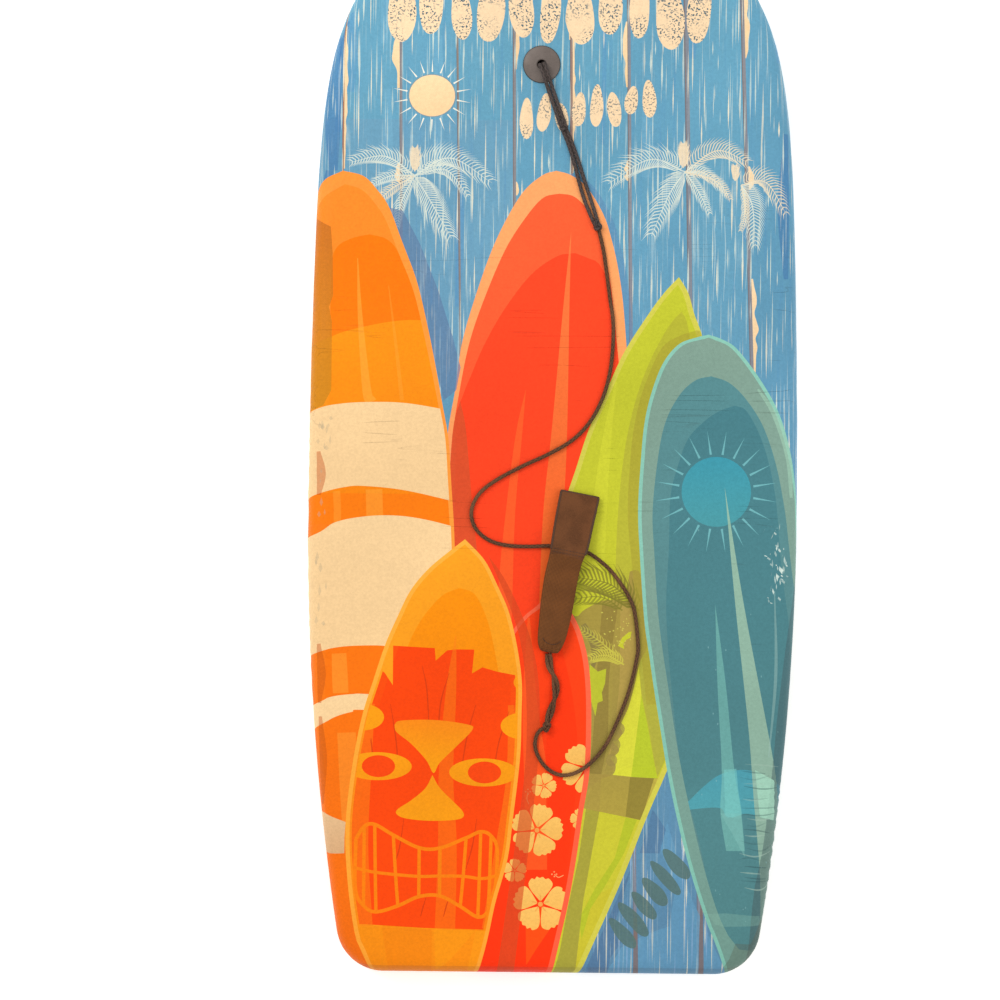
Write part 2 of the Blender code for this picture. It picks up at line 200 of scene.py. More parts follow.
def toned(colour, times, plus=0.0):
    """A colour made darker or paler, no brighter than white."""
    return tuple(min(1.0, c * times + plus) for c in colour[:3]) + (1.0,)


def new_material(name, roughness, ior=1.5, **sockets):
    """A Principled material, with its tree, its shader and its Object coordinates."""
    made = bpy.data.materials.new(name)
    made.use_nodes = True
    tree = made.node_tree
    shader = tree.nodes["Principled BSDF"]
    shader.inputs["Roughness"].default_value = roughness
    shader.inputs["IOR"].default_value = ior
    for key, value in sockets.items():
        shader.inputs[key.replace("_", " ")].default_value = value
    return made, tree, shader, node(tree, PLACE)


def feed(tree, shader, **links):
    """Links sockets into the shader's inputs."""
    for key, value in links.items():
        tree.links.new(value, shader.inputs[key.replace("_", " ")])


def relief(tree, shader, height, distance):
    """Bump from a height of 0 to 1 that stands for a real depth in metres."""
    bump = node(tree, kind("Bump", ("Height", "Distance", "Strength")), height, distance, 1.0)
    tree.links.new(bump, shader.inputs["Normal"])


# ---------------------------------------------------------------- meshes


def add_object(name, data, finish):
    made = bpy.data.objects.new(name, data)
    bpy.context.scene.collection.objects.link(made)
    data.materials.append(finish)
    return made


def mesh_object(name, points, faces, finish, uv=None):
    """Smooth-shaded mesh; uv gives a pair for each corner, in metres."""
    mesh = bpy.data.meshes.new(name)
    mesh.from_pydata(
        np.asarray(points, float).tolist(), [], faces if isinstance(faces, list) else faces.tolist()
    )
    if uv is not None:
        layer = mesh.uv_layers.new(name="cloth")
        layer.data.foreach_set("uv", np.asarray(uv, np.float32).ravel())
    mesh.shade_smooth()
    return add_object(name, mesh, finish)


def stands_for(piece, body, node_name):
    """Makes a piece ride on a body in the place of a CAD node, whose solid it hides."""
    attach(piece, body)
    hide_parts(node_name)


def grid_corners(rows, columns, closed=False, looped=False):
    """Row and column of each quad's four corners on a grid; closed joins the last column to the
    first, and looped the last row to the first."""
    down = rows if looped else rows - 1
    across = columns if closed else columns - 1
    i, j = np.meshgrid(np.arange(down), np.arange(across), indexing="ij")
    return [(i.ravel(), j.ravel()), (i.ravel(), j.ravel() + 1), (i.ravel() + 1, j.ravel() + 1),
            (i.ravel() + 1, j.ravel())]


def swept(name, rings, finish, around, along, looped=False):
    """Closed tube through rings of points (rows, columns, 3), with a fan over each end unless looped.

    The UV map is (distance round, distance along) in metres: around has columns + 1 values, along one
    for each row, and one more if looped."""
    rows, columns = rings.shape[:2]
    corners = grid_corners(rows, columns, closed=True, looped=looped)
    quads = np.stack([i % rows * columns + j % columns for i, j in corners], axis=1)
    uv = np.stack([np.stack([around[j], along[i]], axis=-1) for i, j in corners], axis=1).reshape(-1, 2)
    points = rings.reshape(-1, 3)
    faces = quads.tolist()
    if not looped:
        points = np.concatenate([points, [rings[0].mean(axis=0)], [rings[-1].mean(axis=0)]])
        ring = np.arange(columns)
        after = (ring + 1) % columns
        last = (rows - 1) * columns
        faces += np.stack([after, ring, np.full(columns, rows * columns)], axis=1).tolist()
        faces += np.stack([ring + last, after + last, np.full(columns, rows * columns + 1)], axis=1).tolist()
        ends = np.repeat([[around[0], along[0]], [around[0], along[-1]]], columns * 3, axis=0)
        uv = np.concatenate([uv, ends])
    return mesh_object(name, points, faces, finish, uv)


def catmull_rom(points, per_span=12):
    """Smooth curve through the points: on each span a cubic whose end slopes come from its neighbours."""
    points = np.asarray(points, float)
    before = np.concatenate([[2 * points[0] - points[1]], points[:-1]])
    after = np.concatenate([points[1:], [2 * points[-1] - points[-2]]])
    slope = (after - before) / 2
    t = np.linspace(0, 1, per_span, endpoint=False)[:, None, None]
    a, b = points[:-1], points[1:]
    ta, tb = slope[:-1], slope[1:]
    spans = (
        (2 * t**3 - 3 * t**2 + 1) * a
        + (t**3 - 2 * t**2 + t) * ta
        + (3 * t**2 - 2 * t**3) * b
        + (t**3 - t**2) * tb
    )
    return np.concatenate([spans.transpose(1, 0, 2).reshape(-1, points.shape[1]), points[-1:]])


def run_along(points):
    """Distance along a polyline at each of its points."""
    return np.concatenate([[0], np.cumsum(np.linalg.norm(np.diff(points, axis=0), axis=1))])


def evenly(points, spacing):
    """Points a nearly equal distance apart along a polyline, both ends kept."""
    run = run_along(points)
    at = np.linspace(0, run[-1], max(3, round(run[-1] / spacing) + 1))
    return np.stack([np.interp(at, run, points[:, k]) for k in range(points.shape[1])], axis=1)


# ---------------------------------------------------------------- board outline


def side_half_width(y):
    """Half width of the full outline: an arc aft of the widest point, a fuller curve ahead of it."""
    ahead = np.asarray(y, float) - WIDEST_Y
    aft = WIDTH / 2 - ahead**2 / (2 * AFT_RADIUS)
    reach = np.clip(ahead, 0, None) / FORE_REACH
    taper = (1 - FORE_TAPER * reach**2) * (1 - reach**NOSE_POWER) ** NOSE_FULLNESS
    return np.where(ahead < 0, aft, WIDTH / 2 * taper)


def corner_arc(end_y, radius, steps=40):
    """Arc tangent to the side curve and to the straight end edge, from the side to the end."""
    toward = math.copysign(1, end_y)
    y = np.linspace(end_y - toward * 4 * radius, end_y, 2001)
    x = side_half_width(y)
    slope = np.gradient(x, y)
    inward = np.stack([-np.ones_like(slope), slope], axis=1)
    inward /= np.linalg.norm(inward, axis=1)[:, None]
    off = toward * (end_y - (y + radius * inward[:, 1])) - radius
    i = int(np.argmin(np.abs(off)))
    start = math.atan2(-inward[i, 1], -inward[i, 0])
    turn = np.linspace(start, toward * math.pi / 2, steps + 1)
    middle = (x[i] + radius * inward[i, 0], end_y - toward * radius)
    return np.stack([middle[0] + radius * np.cos(turn), middle[1] + radius * np.sin(turn)], axis=1)


def outline(inset, spacing):
    """Closed outline of the board, anticlockwise and evenly spaced, moved in by inset along its normals.

    Returns its points, its outward normals and its directions."""
    tail = corner_arc(-LENGTH / 2, TAIL_CORNER)[::-1]
    nose = corner_arc(LENGTH / 2, NOSE_CORNER)
    y = np.linspace(tail[-1, 1], nose[0, 1], 602)[1:-1]
    half = np.concatenate([tail, np.stack([side_half_width(y), y], axis=1), nose])
    loop = np.concatenate([half, half[::-1] * (-1, 1), half[:1]])
    loop = evenly(loop, spacing)[:-1]
    along = np.roll(loop, -1, axis=0) - np.roll(loop, 1, axis=0)
    along /= np.linalg.norm(along, axis=1)[:, None]
    outward = np.stack([along[:, 1], -along[:, 0]], axis=1)
    return loop - inset * outward, outward, along


def rocker(y):
    """How far the nose lifts: nothing over the flat of the board, then a parabola."""
    ahead = np.clip((y - ROCKER_START) / (LENGTH / 2 - ROCKER_START), 0, None)
    return NOSE_RISE * ahead**2


def inside(points, loop):
    """Which points lie in a closed outline, by the even-odd rule."""
    found = np.zeros(len(points), bool)
    low, high = loop.min(axis=0), loop.max(axis=0)
    near = np.nonzero(np.all((points >= low) & (points <= high), axis=1))[0]
    start, end = loop, np.roll(loop, -1, axis=0)
    for part in np.array_split(near, max(1, len(near) * len(loop) // 4_000_000)):
        x, y = points[part, 0:1], points[part, 1:2]
        spans = (start[:, 1] > y) != (end[:, 1] > y)
        rise = np.where(end[:, 1] == start[:, 1], 1.0, end[:, 1] - start[:, 1])
        crossing = start[:, 0] + (y - start[:, 1]) * (end[:, 0] - start[:, 0]) / rise
        found[part] = np.sum(spans & (x < crossing), axis=1) % 2 == 1
    return found


FLAT_INSET = SLICK_LIP + RAIL_RADIUS  # from the slick's edge to where the deck is flat
QUARTER = RAIL_RADIUS * math.pi / 2
COVER_LOW = SLICK_THICKNESS + GAP
SKIRT = QUARTER + DECK - RAIL_RADIUS - COVER_LOW  # width of the cover past the deck's flat


def wrap(flat):
    """Cover points laid over the board: flat on the deck, then down the rail by their distance past it.

    Past the flat, distance d turns into R sin(d/R) outward and R (1 - cos(d/R)) down for a quarter
    round, and what is left of it goes straight down. A point's foot on the flat's edge is its nearest
    sample, moved along by its sideways distance over 1 + bend d, as round an arc of that bend.
    Returns the points and the distances."""
    loop, outward, along = outline(FLAT_INSET, 0.002)
    turned, moved = (np.roll(v, -1, axis=0) - np.roll(v, 1, axis=0) for v in (outward, loop))
    bend = np.linalg.norm(turned, axis=1) / np.linalg.norm(moved, axis=1)
    nearest = np.concatenate([
        np.argmin(((part[:, None] - loop[None]) ** 2).sum(axis=2), axis=1)
        for part in np.array_split(flat, len(flat) // 1500 + 1)
    ])
    foot = loop[nearest]
    past = np.clip(((flat - foot) * outward[nearest]).sum(axis=1), 0, None)
    shift = ((flat - foot) * along[nearest]).sum(axis=1) / (1 + bend[nearest] * past)
    foot = foot + shift[:, None] * along[nearest]
    away = (flat - foot) / np.maximum(np.linalg.norm(flat - foot, axis=1), 1e-9)[:, None]
    turn = np.minimum(past / RAIL_RADIUS, math.pi / 2)
    out = RAIL_RADIUS * np.sin(turn)
    drop = RAIL_RADIUS * (1 - np.cos(turn)) + np.clip(past - QUARTER, 0, None)
    plan = np.where(past[:, None] > 0, foot + away * out[:, None], flat)
    return np.column_stack([plan, DECK - drop + rocker(plan[:, 1])]), past


# ---------------------------------------------------------------- stage


def floor_finish(colour):
    """Matt white paper sweep with a faint glow of its own, so that it stays white round the board."""
    made, _, shader, _ = new_material("matt_paper_sweep", 0.9, ior=1.4)
    shader.inputs["Base Color"].default_value = colour
    shader.inputs["Specular IOR Level"].default_value = 0.0
    shader.inputs["Emission Color"].default_value = colour
    shader.inputs["Emission Strength"].default_value = 0.4
    return made


def soft_light(name, place, across, power):
    """Square area light at place, turned toward the origin."""
    data = bpy.data.lights.new(name, "AREA")
    data.shape = "SQUARE"
    data.size = across
    data.energy = power
    data.color = (1.0, 0.96, 0.89)
    made = bpy.data.objects.new(name, data)
    bpy.context.scene.collection.objects.link(made)
    made.location = place
    toward = np.negative(place)
    made.rotation_euler = (
        math.acos(-toward[2] / np.linalg.norm(toward)),
        0.0,
        math.atan2(-toward[0], toward[1]),
    )
    return made


# ---------------------------------------------------------------- leash


def braided_cord(name, colour, pitch):
    """Braided polyester cord: matt, with a crossing pattern of darker gaps between its plaited yarns."""
    made, tree, shader, place = new_material(name, 0.62, ior=1.53, Sheen_Weight=0.08)
    shader.inputs["Specular IOR Level"].default_value = 0.3
    around, along, _ = node(tree, SPLIT, node(tree, CLOTH_UV))
    turns = node(tree, TIMES, around, 8 / CORD_DIAMETER)
    steps = node(tree, TIMES, along, 2 * math.pi / pitch)
    left = node(tree, SINE, node(tree, PLUS, turns, steps))
    right = node(tree, SINE, node(tree, MINUS, turns, steps))
    yarn = node(tree, SMOOTH_RUN, node(tree, HIGHER, left, right), 0.1, 0.9)
    fibres = node(tree, NOISE, place, 900.0, 3.0)
    worn = node(tree, SMOOTH_RUN, node(tree, NOISE, place, 28.0), 0.45, 0.75)
    dark = toned(colour, 0.45)
    pale = toned(colour, 1.9, 0.012)
    base = node(tree, MIX, yarn, dark, colour)
    base = node(tree, MIX, node(tree, TIMES, node(tree, TIMES, fibres, worn), 0.75), base, pale)
    feed(tree, shader, Base_Color=base)
    relief(tree, shader, node(tree, PLUS, yarn, node(tree, TIMES, fibres, 0.3)), 0.00018)
    return made


def beside(points, offset):
    """A line moved sideways in plan by offset, to its right."""
    tangent = np.gradient(points[:, :2], axis=0)
    still = np.linalg.norm(tangent, axis=1) < 1e-6
    tangent[still] = tangent[~still][0]
    tangent /= np.linalg.norm(tangent, axis=1)[:, None]
    moved = points.copy()
    moved[:, 0] += tangent[:, 1] * offset
    moved[:, 1] -= tangent[:, 0] * offset
    return moved


def on_deck(points):
    points = np.asarray(points, float)
    return np.column_stack([points, np.full(len(points), CORD_Z)])


def tube_rings(centre, radius):
    """Rings of a tube: at each point, radius times (cos a side + sin a up), square to the line."""
    tangent = np.gradient(centre, axis=0)
    tangent /= np.linalg.norm(tangent, axis=1)[:, None]
    flat = tangent[:, :2].copy()
    still = np.linalg.norm(flat, axis=1) < 0.02
    flat[still] = flat[~still][0]
    side = np.column_stack([flat[:, 1], -flat[:, 0], np.zeros(len(flat))])
    side /= np.linalg.norm(side, axis=1)[:, None]
    up = np.cross(side, tangent)
    angle = np.arange(radius.shape[1]) * 2 * math.pi / radius.shape[1]
    turned = np.cos(angle)[:, None] * side[:, None] + np.sin(angle)[:, None] * up[:, None]
    return centre[:, None] + radius[:, :, None] * turned


def cord_piece(name, line, finish, pitch, spacing=0.001, sides=24):
    """Braided cord along a line: the radius rises over two sets of crossing helical yarns."""
    centre = evenly(line, spacing)
    run = run_along(centre)
    angle = np.arange(sides) * 2 * math.pi / sides
    steps = run[:, None] * 2 * math.pi / pitch
    yarn = np.maximum(np.cos(4 * angle + steps), np.cos(4 * angle - steps))
    radius = CORD_DIAMETER / 2 * (0.965 + 0.045 * yarn)
    around = np.linspace(0, math.pi * CORD_DIAMETER, sides + 1)
    return swept(name, tube_rings(centre, radius), finish, around, run), centre


def knot_piece(name, place, direction, finish):
    """Pulled-up overhand knot: a cord along the curve (sin t + 2 sin 2t, cos t - 2 cos 2t, -sin 3t),
    squeezed to the knot's size and turned to lie along the cord."""
    t = np.arange(120) * 2 * math.pi / 120
    curl = np.stack([np.sin(t) + 2 * np.sin(2 * t), np.cos(t) - 2 * np.cos(2 * t), -np.sin(3 * t)], axis=1)
    strand = CORD_DIAMETER * 0.44
    reach = np.abs(curl).max(axis=0)
    curl *= (np.array(KNOT_SIZE) - strand) / reach
    turn = math.atan2(-direction[0], direction[1])
    cosine, sine = math.cos(turn), math.sin(turn)
    x = place[0] + curl[:, 0] * cosine - curl[:, 1] * sine
    y = place[1] + curl[:, 0] * sine + curl[:, 1] * cosine
    z = (DECK + GAP + KNOT_SIZE[2] if len(place) == 2 else place[2]) + curl[:, 2]
    centre = np.stack([x, y, z], axis=1)
    tangent = np.roll(centre, -1, axis=0) - np.roll(centre, 1, axis=0)
    tangent /= np.linalg.norm(tangent, axis=1)[:, None]
    away = centre - centre.mean(axis=0)
    side = np.cross(tangent, away)
    side /= np.linalg.norm(side, axis=1)[:, None]
    up = np.cross(side, tangent)
    sides = 16
    angle = np.arange(sides) * 2 * math.pi / sides
    turned = np.cos(angle)[:, None] * side[:, None] + np.sin(angle)[:, None] * up[:, None]
    rings = centre[:, None] + strand * turned
    around = np.linspace(0, 2 * math.pi * strand, sides + 1)
    return swept(name, rings, finish, around, run_along(np.concatenate([centre, centre[:1]])), looped=True)


def plug_string_line():
    """Middle of the doubled plug string: up through the plug's hole, over its rim and into the hitch."""
    route = np.asarray(PLUG_STRING_ROUTE + [(0.0618, CORD_Z)])
    across = np.subtract(HITCH_KNOT, PLUG)
    across /= np.linalg.norm(across)
    plan = np.asarray(PLUG) + route[:, :1] * across
    return catmull_rom(np.column_stack([plan, route[:, 1]]))


def twisted(line, offset, turns, start):
    """A strand wound round a line: offset from it by (cos a, sin a), and lifted so that neither strand
    of the pair sinks into the deck."""
    line = evenly(line, 0.001)
    tangent = np.gradient(line, axis=0)
    tangent /= np.linalg.norm(tangent, axis=1)[:, None]
    side = np.column_stack([tangent[:, 1], -tangent[:, 0], np.zeros(len(line))])
    angle = start + 2 * math.pi * turns * np.linspace(0, 1, len(line))
    lift = offset * (np.sin(angle) + np.abs(np.sin(angle)))
    return line + offset * np.cos(angle)[:, None] * side + lift[:, None] * (0, 0, 1)


def declared_cord(name, node_name, line, finish, pitch):
    """A cord that rides on the board and stands for its CAD solid."""
    piece, path = cord_piece(name, line, finish, pitch)
    stands_for(piece, "board", node_name)
    return piece


def doubled_cord(name, strands, finish, pitch):
    """The two strands of a doubled stretch."""
    for side, line in zip(("left", "right"), strands, strict=True):
        declared_cord(
            f"{name}_{side}_strand", f"{name}_{side}", line, finish, pitch
        )


# ---------------------------------------------------------------- printed artwork

# Everything here is flat on the cover, in millimetres: X across, Y toward the nose.
FAR = 300  # past the cover's edge on every side


class Artwork:
    """Closed flat outlines in paint order, each with a colour from its top to its bottom."""

    def __init__(self):
        self.shapes = []

    def add(self, loop, colour, low_colour=None, mix=1.0, within=None, wood=None, speckle=None):
        """Paints a loop. mix lets what is under it through, and within keeps it inside another loop.
        wood and speckle switch the plank grain and the speckled ink on or off."""
        loop = np.asarray(loop, float)
        keep = np.linalg.norm(loop - np.roll(loop, 1, axis=0), axis=1) > 0.02
        high = np.array(linear(colour)[:3])
        low = high if low_colour is None else np.array(linear(low_colour)[:3])
        self.shapes.append((loop[keep], high, low, mix, within, wood, speckle))


def sides(left, right, steps=56):
    """Left and right edge of a tall shape at common heights, crowded toward its tip. Each is given by
    points from the top down that a smooth curve joins. Returns the heights, both edges, and how much
    longer each edge is than its height."""
    lines = [catmull_rom(np.array(points, float), 10) for points in (left, right)]
    top = min(line[:, 1].max() for line in lines)
    low = max(line[:, 1].min() for line in lines)
    y = top - (top - low) * np.linspace(0, 1, steps) ** 1.9
    found = [y]
    for line in lines:
        found.append(np.interp(-y, -line[:, 1], line[:, 0]))
    for line in lines:
        step = np.gradient(line, axis=0)
        found.append(np.interp(-y, -line[:, 1], np.hypot(*step.T) / np.maximum(np.abs(step[:, 1]), 1e-6)))
    return found


def closed(shape):
    """Loop round a tall shape."""
    y, left, right = shape[:3]
    return np.concatenate([np.stack([left, y], axis=1), np.stack([right, y], axis=1)[::-1]])


def tall_loop(left, right, steps=56):
    """Loop of a tall shape between two edges."""
    return closed(sides(left, right, steps))


def narrowed(shape, by, right_by=None):
    """A tall shape with a rim taken off each side, measured square to its edge."""
    y, left, right, left_stretch, right_stretch = shape
    right_by = by if right_by is None else right_by
    left = left + by * np.minimum(left_stretch, 9)
    right = right - right_by * np.minimum(right_stretch, 9)
    keep = left < right
    return [values[keep] for values in (y, left, right, left_stretch, right_stretch)]


def band(top, bottom):
    """Loop between two smooth curves that both run from left to right."""
    return np.concatenate([catmull_rom(top, 8), catmull_rom(bottom, 8)[::-1]])


def spindle(x, top, low, width, lean=0.0):
    """Thin upright stroke, pointed at both ends."""
    middle = top * 0.42 + low * 0.58
    at = x + lean * (top - middle)
    return [(x, top), (at + width / 2, middle), (x + lean * (top - low), low), (at - width / 2, middle)]


def taper(points, widths):
    """Loop round a smooth line, as wide at each of its points as widths says."""
    line = catmull_rom(np.column_stack([points, widths]), 8)
    along = np.gradient(line[:, :2], axis=0)
    along /= np.linalg.norm(along, axis=1)[:, None] + 1e-9
    across = np.stack([-along[:, 1], along[:, 0]], axis=1) * line[:, 2:] / 2
    return np.concatenate([line[:, :2] + across, (line[:, :2] - across)[::-1]])


def ellipse(x, y, across, up, count=48):
    turn = np.arange(count) * 2 * math.pi / count
    return np.stack([x + across * np.cos(turn), y + up * np.sin(turn)], axis=1)


def frond(art, start, bend, tip, width, leaves, colour, mix=0.85, wide=0.6):
    """Palm frond: curved leaflets swept toward the tip on both sides of a bowed rib, shorter toward both
    ends and a little uneven. wide is half the width of a leaflet."""
    start, bend, tip = (np.array(place, float) for place in (start, bend, tip))
    at = np.linspace(0.06, 0.97, leaves)[:, None]
    rib = (1 - at) ** 2 * start + 2 * at * (1 - at) * bend + at**2 * tip
    along = 2 * (1 - at) * (bend - start) + 2 * at * (tip - bend)
    along /= np.linalg.norm(along, axis=1)[:, None]
    across = np.stack([-along[:, 1], along[:, 0]], axis=1)
    art.add(taper([start, rib[leaves // 2], tip], [1.5, 1.1, 0.3]), colour, mix=mix)
    for side in (-1, 1):
        uneven = 1 + 0.16 * np.sin(2.4 * np.arange(leaves) * (1.7 + side) + side)[:, None]
        reach = width * uneven * np.sin(math.pi * (0.16 + 0.74 * at)) ** 0.7
        ends = rib + across * side * reach * 0.86 + along * reach * (1.0 + 0.3 * at)
        knees = rib + across * side * reach * 0.52 + along * reach * 0.36
        for k in range(leaves):
            away = (along[k] * 0.86 - across[k] * side * 0.5) * wide
            art.add(
                [rib[k] - away * 0.7, knees[k] - away, ends[k], knees[k] + away, rib[k] + away * 0.7],
                colour, mix=mix
            )


def petal(x, y, reach, turn, width=0.44):
    """Heart-shaped petal that points from a flower's middle along turn."""
    shape = np.array([
        (0.13, 0.03), (0.32, 0.20), (0.52, 0.36), (0.74, width), (0.93, 0.33), (0.90, 0.22), (1.0, 0.14),
        (0.95, 0.04), (0.99, -0.08), (0.91, -0.17), (0.93, -0.30), (0.74, -width), (0.52, -0.35),
        (0.32, -0.19), (0.13, -0.03),
    ])
    cosine, sine = math.cos(turn), math.sin(turn)
    out, side = catmull_rom(shape, 3).T * reach
    return np.stack([x + out * cosine - side * sine, y + out * sine + side * cosine], axis=1)


def flower(art, x, y, reach, turn, within):
    """Hibiscus of five petals round a small star, each petal veined by a gap toward the middle."""
    for k in range(5):
        angle = turn + k * 2 * math.pi / 5
        art.add(petal(x, y, reach, angle), "#f8c266", "#f4b95c", within=within)
        vein = [(x + r * reach * math.cos(angle + o), y + r * reach * math.sin(angle + o))
                for r, o in ((0.12, 0.22), (0.34, 0.09), (0.30, -0.09), (0.12, -0.22))]
        art.add(vein, "#e8974a", mix=0.55, within=within)
    art.add(ellipse(x, y, reach * 0.09, reach * 0.09, 12), "#f2a24e", within=within)


PLANK_LINES = [  # X at the height of the plug's nose side, slope, width, colour
    (-205, 0.000, 1.6, "#b0764c"), (-151, 0.012, 2.6, "#8c8a8f"), (-97, 0.020, 1.9, "#8f8379"),
    (-42, 0.012, 2.8, "#8e8a8c"), (13, 0.010, 2.4, "#a08070"), (68, 0.017, 3.2, "#8b8d96"),
    (123, 0.025, 4.2, "#858d9a"), (177, 0.037, 3.4, "#8b8b92"),
]


def plank_x(line, y):
    x, slope, _, _ = line
    return x + slope * (416 - np.asarray(y, float))


def planks(art, draw):
    """Painted boards of a fence: bluer toward the nose, greyer toward the tail, joints, peeled edges and
    long thin strokes where the paint has worn through."""
    edges = [(-FAR, 0.0, 0, "")] + PLANK_LINES + [(FAR, 0.0, 0, "")]
    tones = [0.30, 0.05, 0.12, 0.0, 0.10, 0.02, 0.14, 0.04, 0.22]
    art.add([(-FAR, 600), (FAR, 600), (FAR, 240), (-FAR, 240)], "#68a8c4", "#66a3c2", wood=1.0)
    art.add([(-FAR, 240), (FAR, 240), (FAR, -600), (-FAR, -600)], "#66a3c2", "#5a83a6", wood=1.0)
    art.add([(-FAR, 300), (-40, 300), (-40, 60), (-FAR, 60)], "#729fbe", mix=0.45)
    for k, tone in enumerate(tones):
        left, right = edges[k], edges[k + 1]
        loop = [(plank_x(left, 600), 600), (plank_x(right, 600), 600), (plank_x(right, -600), -600),
                (plank_x(left, -600), -600)]
        art.add(loop, "#558db6", mix=tone)
    for _ in range(34):
        x, top = draw.uniform(-225, 225), draw.uniform(-380, 520)
        if 150 < x and top < 80 or top < 60:
            continue
        wide, tall = draw.uniform(3, 9), draw.uniform(60, 170)
        art.add(taper([(x, top), (x + 1, top - tall / 2), (x, top - tall)], [wide, wide * 1.3, wide]),
                "#5390c6" if draw.random() < 0.5 else "#79b4d4", mix=0.35)
    for x, top, low, wide in (
        (-214, 380, 250, 20), (-203, 395, 330, 9), (222, 290, 150, 12), (-218, 250, 190, 16)
    ):
        art.add(
            taper([(x, top), (x - 3, (top + low) / 2), (x, low)], [wide * 0.5, wide, wide * 0.4]),
            "#3f73ae", mix=0.55
        )
    for line in PLANK_LINES:
        wide = line[2]
        y = np.array([560, 300, 0, -300, -560])
        art.add(taper(np.column_stack([plank_x(line, y), y]), np.full(5, wide)), line[3], "#7f8596", wood=0.3)
        art.add(taper(np.column_stack([plank_x(line, y) - wide * 0.45, y]), np.full(5, wide * 0.32)),
                "#7a5a44", "#6b6f80", mix=0.6, wood=0.3)


def peelings(art, draw):
    """Bare wood along the joints, with a wavy torn edge."""
    for k, top, low, wide, side in (
        (0, 390, 252, 4.4, 1), (1, 384, 330, 7.5, -1), (4, 430, 378, 5.5, -1), (4, 392, 250, 3.6, 1),
        (5, 396, 333, 5.5, -1), (7, 436, 362, 5.5, 1), (7, 150, 60, 6.0, 1), (3, 470, 349, 5.0, 1),
        (3, 241, 228, 5.5, 1), (1, 258, 238, 5.5, -1), (5, 262, 243, 5.0, -1), (6, 500, 450, 5.0, -1),
        (2, 500, 440, 4.0, 1), (7, 258, 236, 6.5, 1),
    ):
        line = PLANK_LINES[k]
        y = np.linspace(top, low, max(6, int((top - low) / 7)))
        swell = wide * (0.35 + 0.65 * draw.random(len(y))) * np.sin(
            math.pi * np.linspace(0.04, 0.97, len(y))
        ) ** 0.5
        x = plank_x(line, y) + side * line[2] * 0.5
        torn = catmull_rom(np.column_stack([x + side * swell, y]), 4)
        straight = np.column_stack([x, y])[::-1]
        art.add(np.concatenate([torn, straight]), "#fbdcb2", "#f4d2a4", wood=0.0)


def strokes(art, draw):
    """Worn-through strokes along the grain, in uneven columns 4 mm apart over the open planks."""
    for x0 in np.arange(-290, 292, 4.0):
        y = draw.uniform(500, 560)
        low = np.interp(x0, (-230, -160, -116, -96, -60, 0, 45, 72, 104, 122, 150, 200, 230),
                        (225, 225, 90, 10, 190, 235, 200, 80, 120, 140, 80, 40, -60))
        while y > low:
            tall, wide = draw.uniform(14, 74), draw.uniform(0.7, 1.9)
            art.add(
                spindle(x0 + draw.normal(0, 1.6), y, y - tall, wide),
                "#cfdfda" if draw.random() < 0.72 else "#f1ead2", mix=draw.uniform(0.35, 0.95), wood=0.0
            )
            y -= tall * draw.uniform(0.8, 1.5) + draw.uniform(2, 46)
    art.add(
        [
            (113, -373), (106, -396), (112, -412), (122, -434), (116, -473), (94, -481), (70, -494),
            (56, -519), (62, -560), (180, -560), (171, -518), (151, -474), (138, -448), (129, -425),
            (122, -402)
        ], "#6299be", mix=0.75
    )
    art.add(
        [(81, -412), (51, -481), (37, -513), (36, -560), (54, -560), (59, -505), (70, -489), (64, -470)],
        "#4b6a94", mix=0.55
    )
    art.add([(99, -361), (87, -403), (106, -403), (112, -380)], "#4b6a94", mix=0.5)
    for x, top in ((84, -463), (147, -452)):
        art.add(taper([(x, top), (x, -500), (x + 1, -560)], [2.4, 4.6, 5.0]), "#7d6358", mix=0.75, wood=0.0)
    for _ in range(60):
        x, top = draw.uniform(35, 175), draw.uniform(-500, -320)
        art.add(spindle(x, top, top - draw.uniform(30, 110), draw.uniform(0.8, 1.9)),
                "#dcdccb" if draw.random() < 0.6 else "#8fb0d6", mix=draw.uniform(0.4, 0.9), wood=0.0)


def sun(art):
    """Pale disc with tapered rays every 20 degrees."""
    x, y = -120, 323
    art.add(ellipse(x, y, 23.0, 20.9), "#8f8f88", mix=0.5, wood=0.0)
    art.add(ellipse(x, y, 22.0, 19.9), "#ffdcae", "#fdd4a4", wood=0.0)
    for k in range(18):
        turn = math.radians(20 * k + 10)
        cosine, sine = math.cos(turn), math.sin(turn)
        inner, outer = 24.4 - 1.6 * abs(sine), 38.5 - 3.0 * abs(sine)
        art.add([(x + inner * cosine - 0.75 * sine, y + inner * sine + 0.75 * cosine),
                 (x + outer * cosine, y + outer * sine),
                 (x + inner * cosine + 0.75 * sine, y + inner * sine - 0.75 * cosine)], "#f4f1e4", wood=0.0)


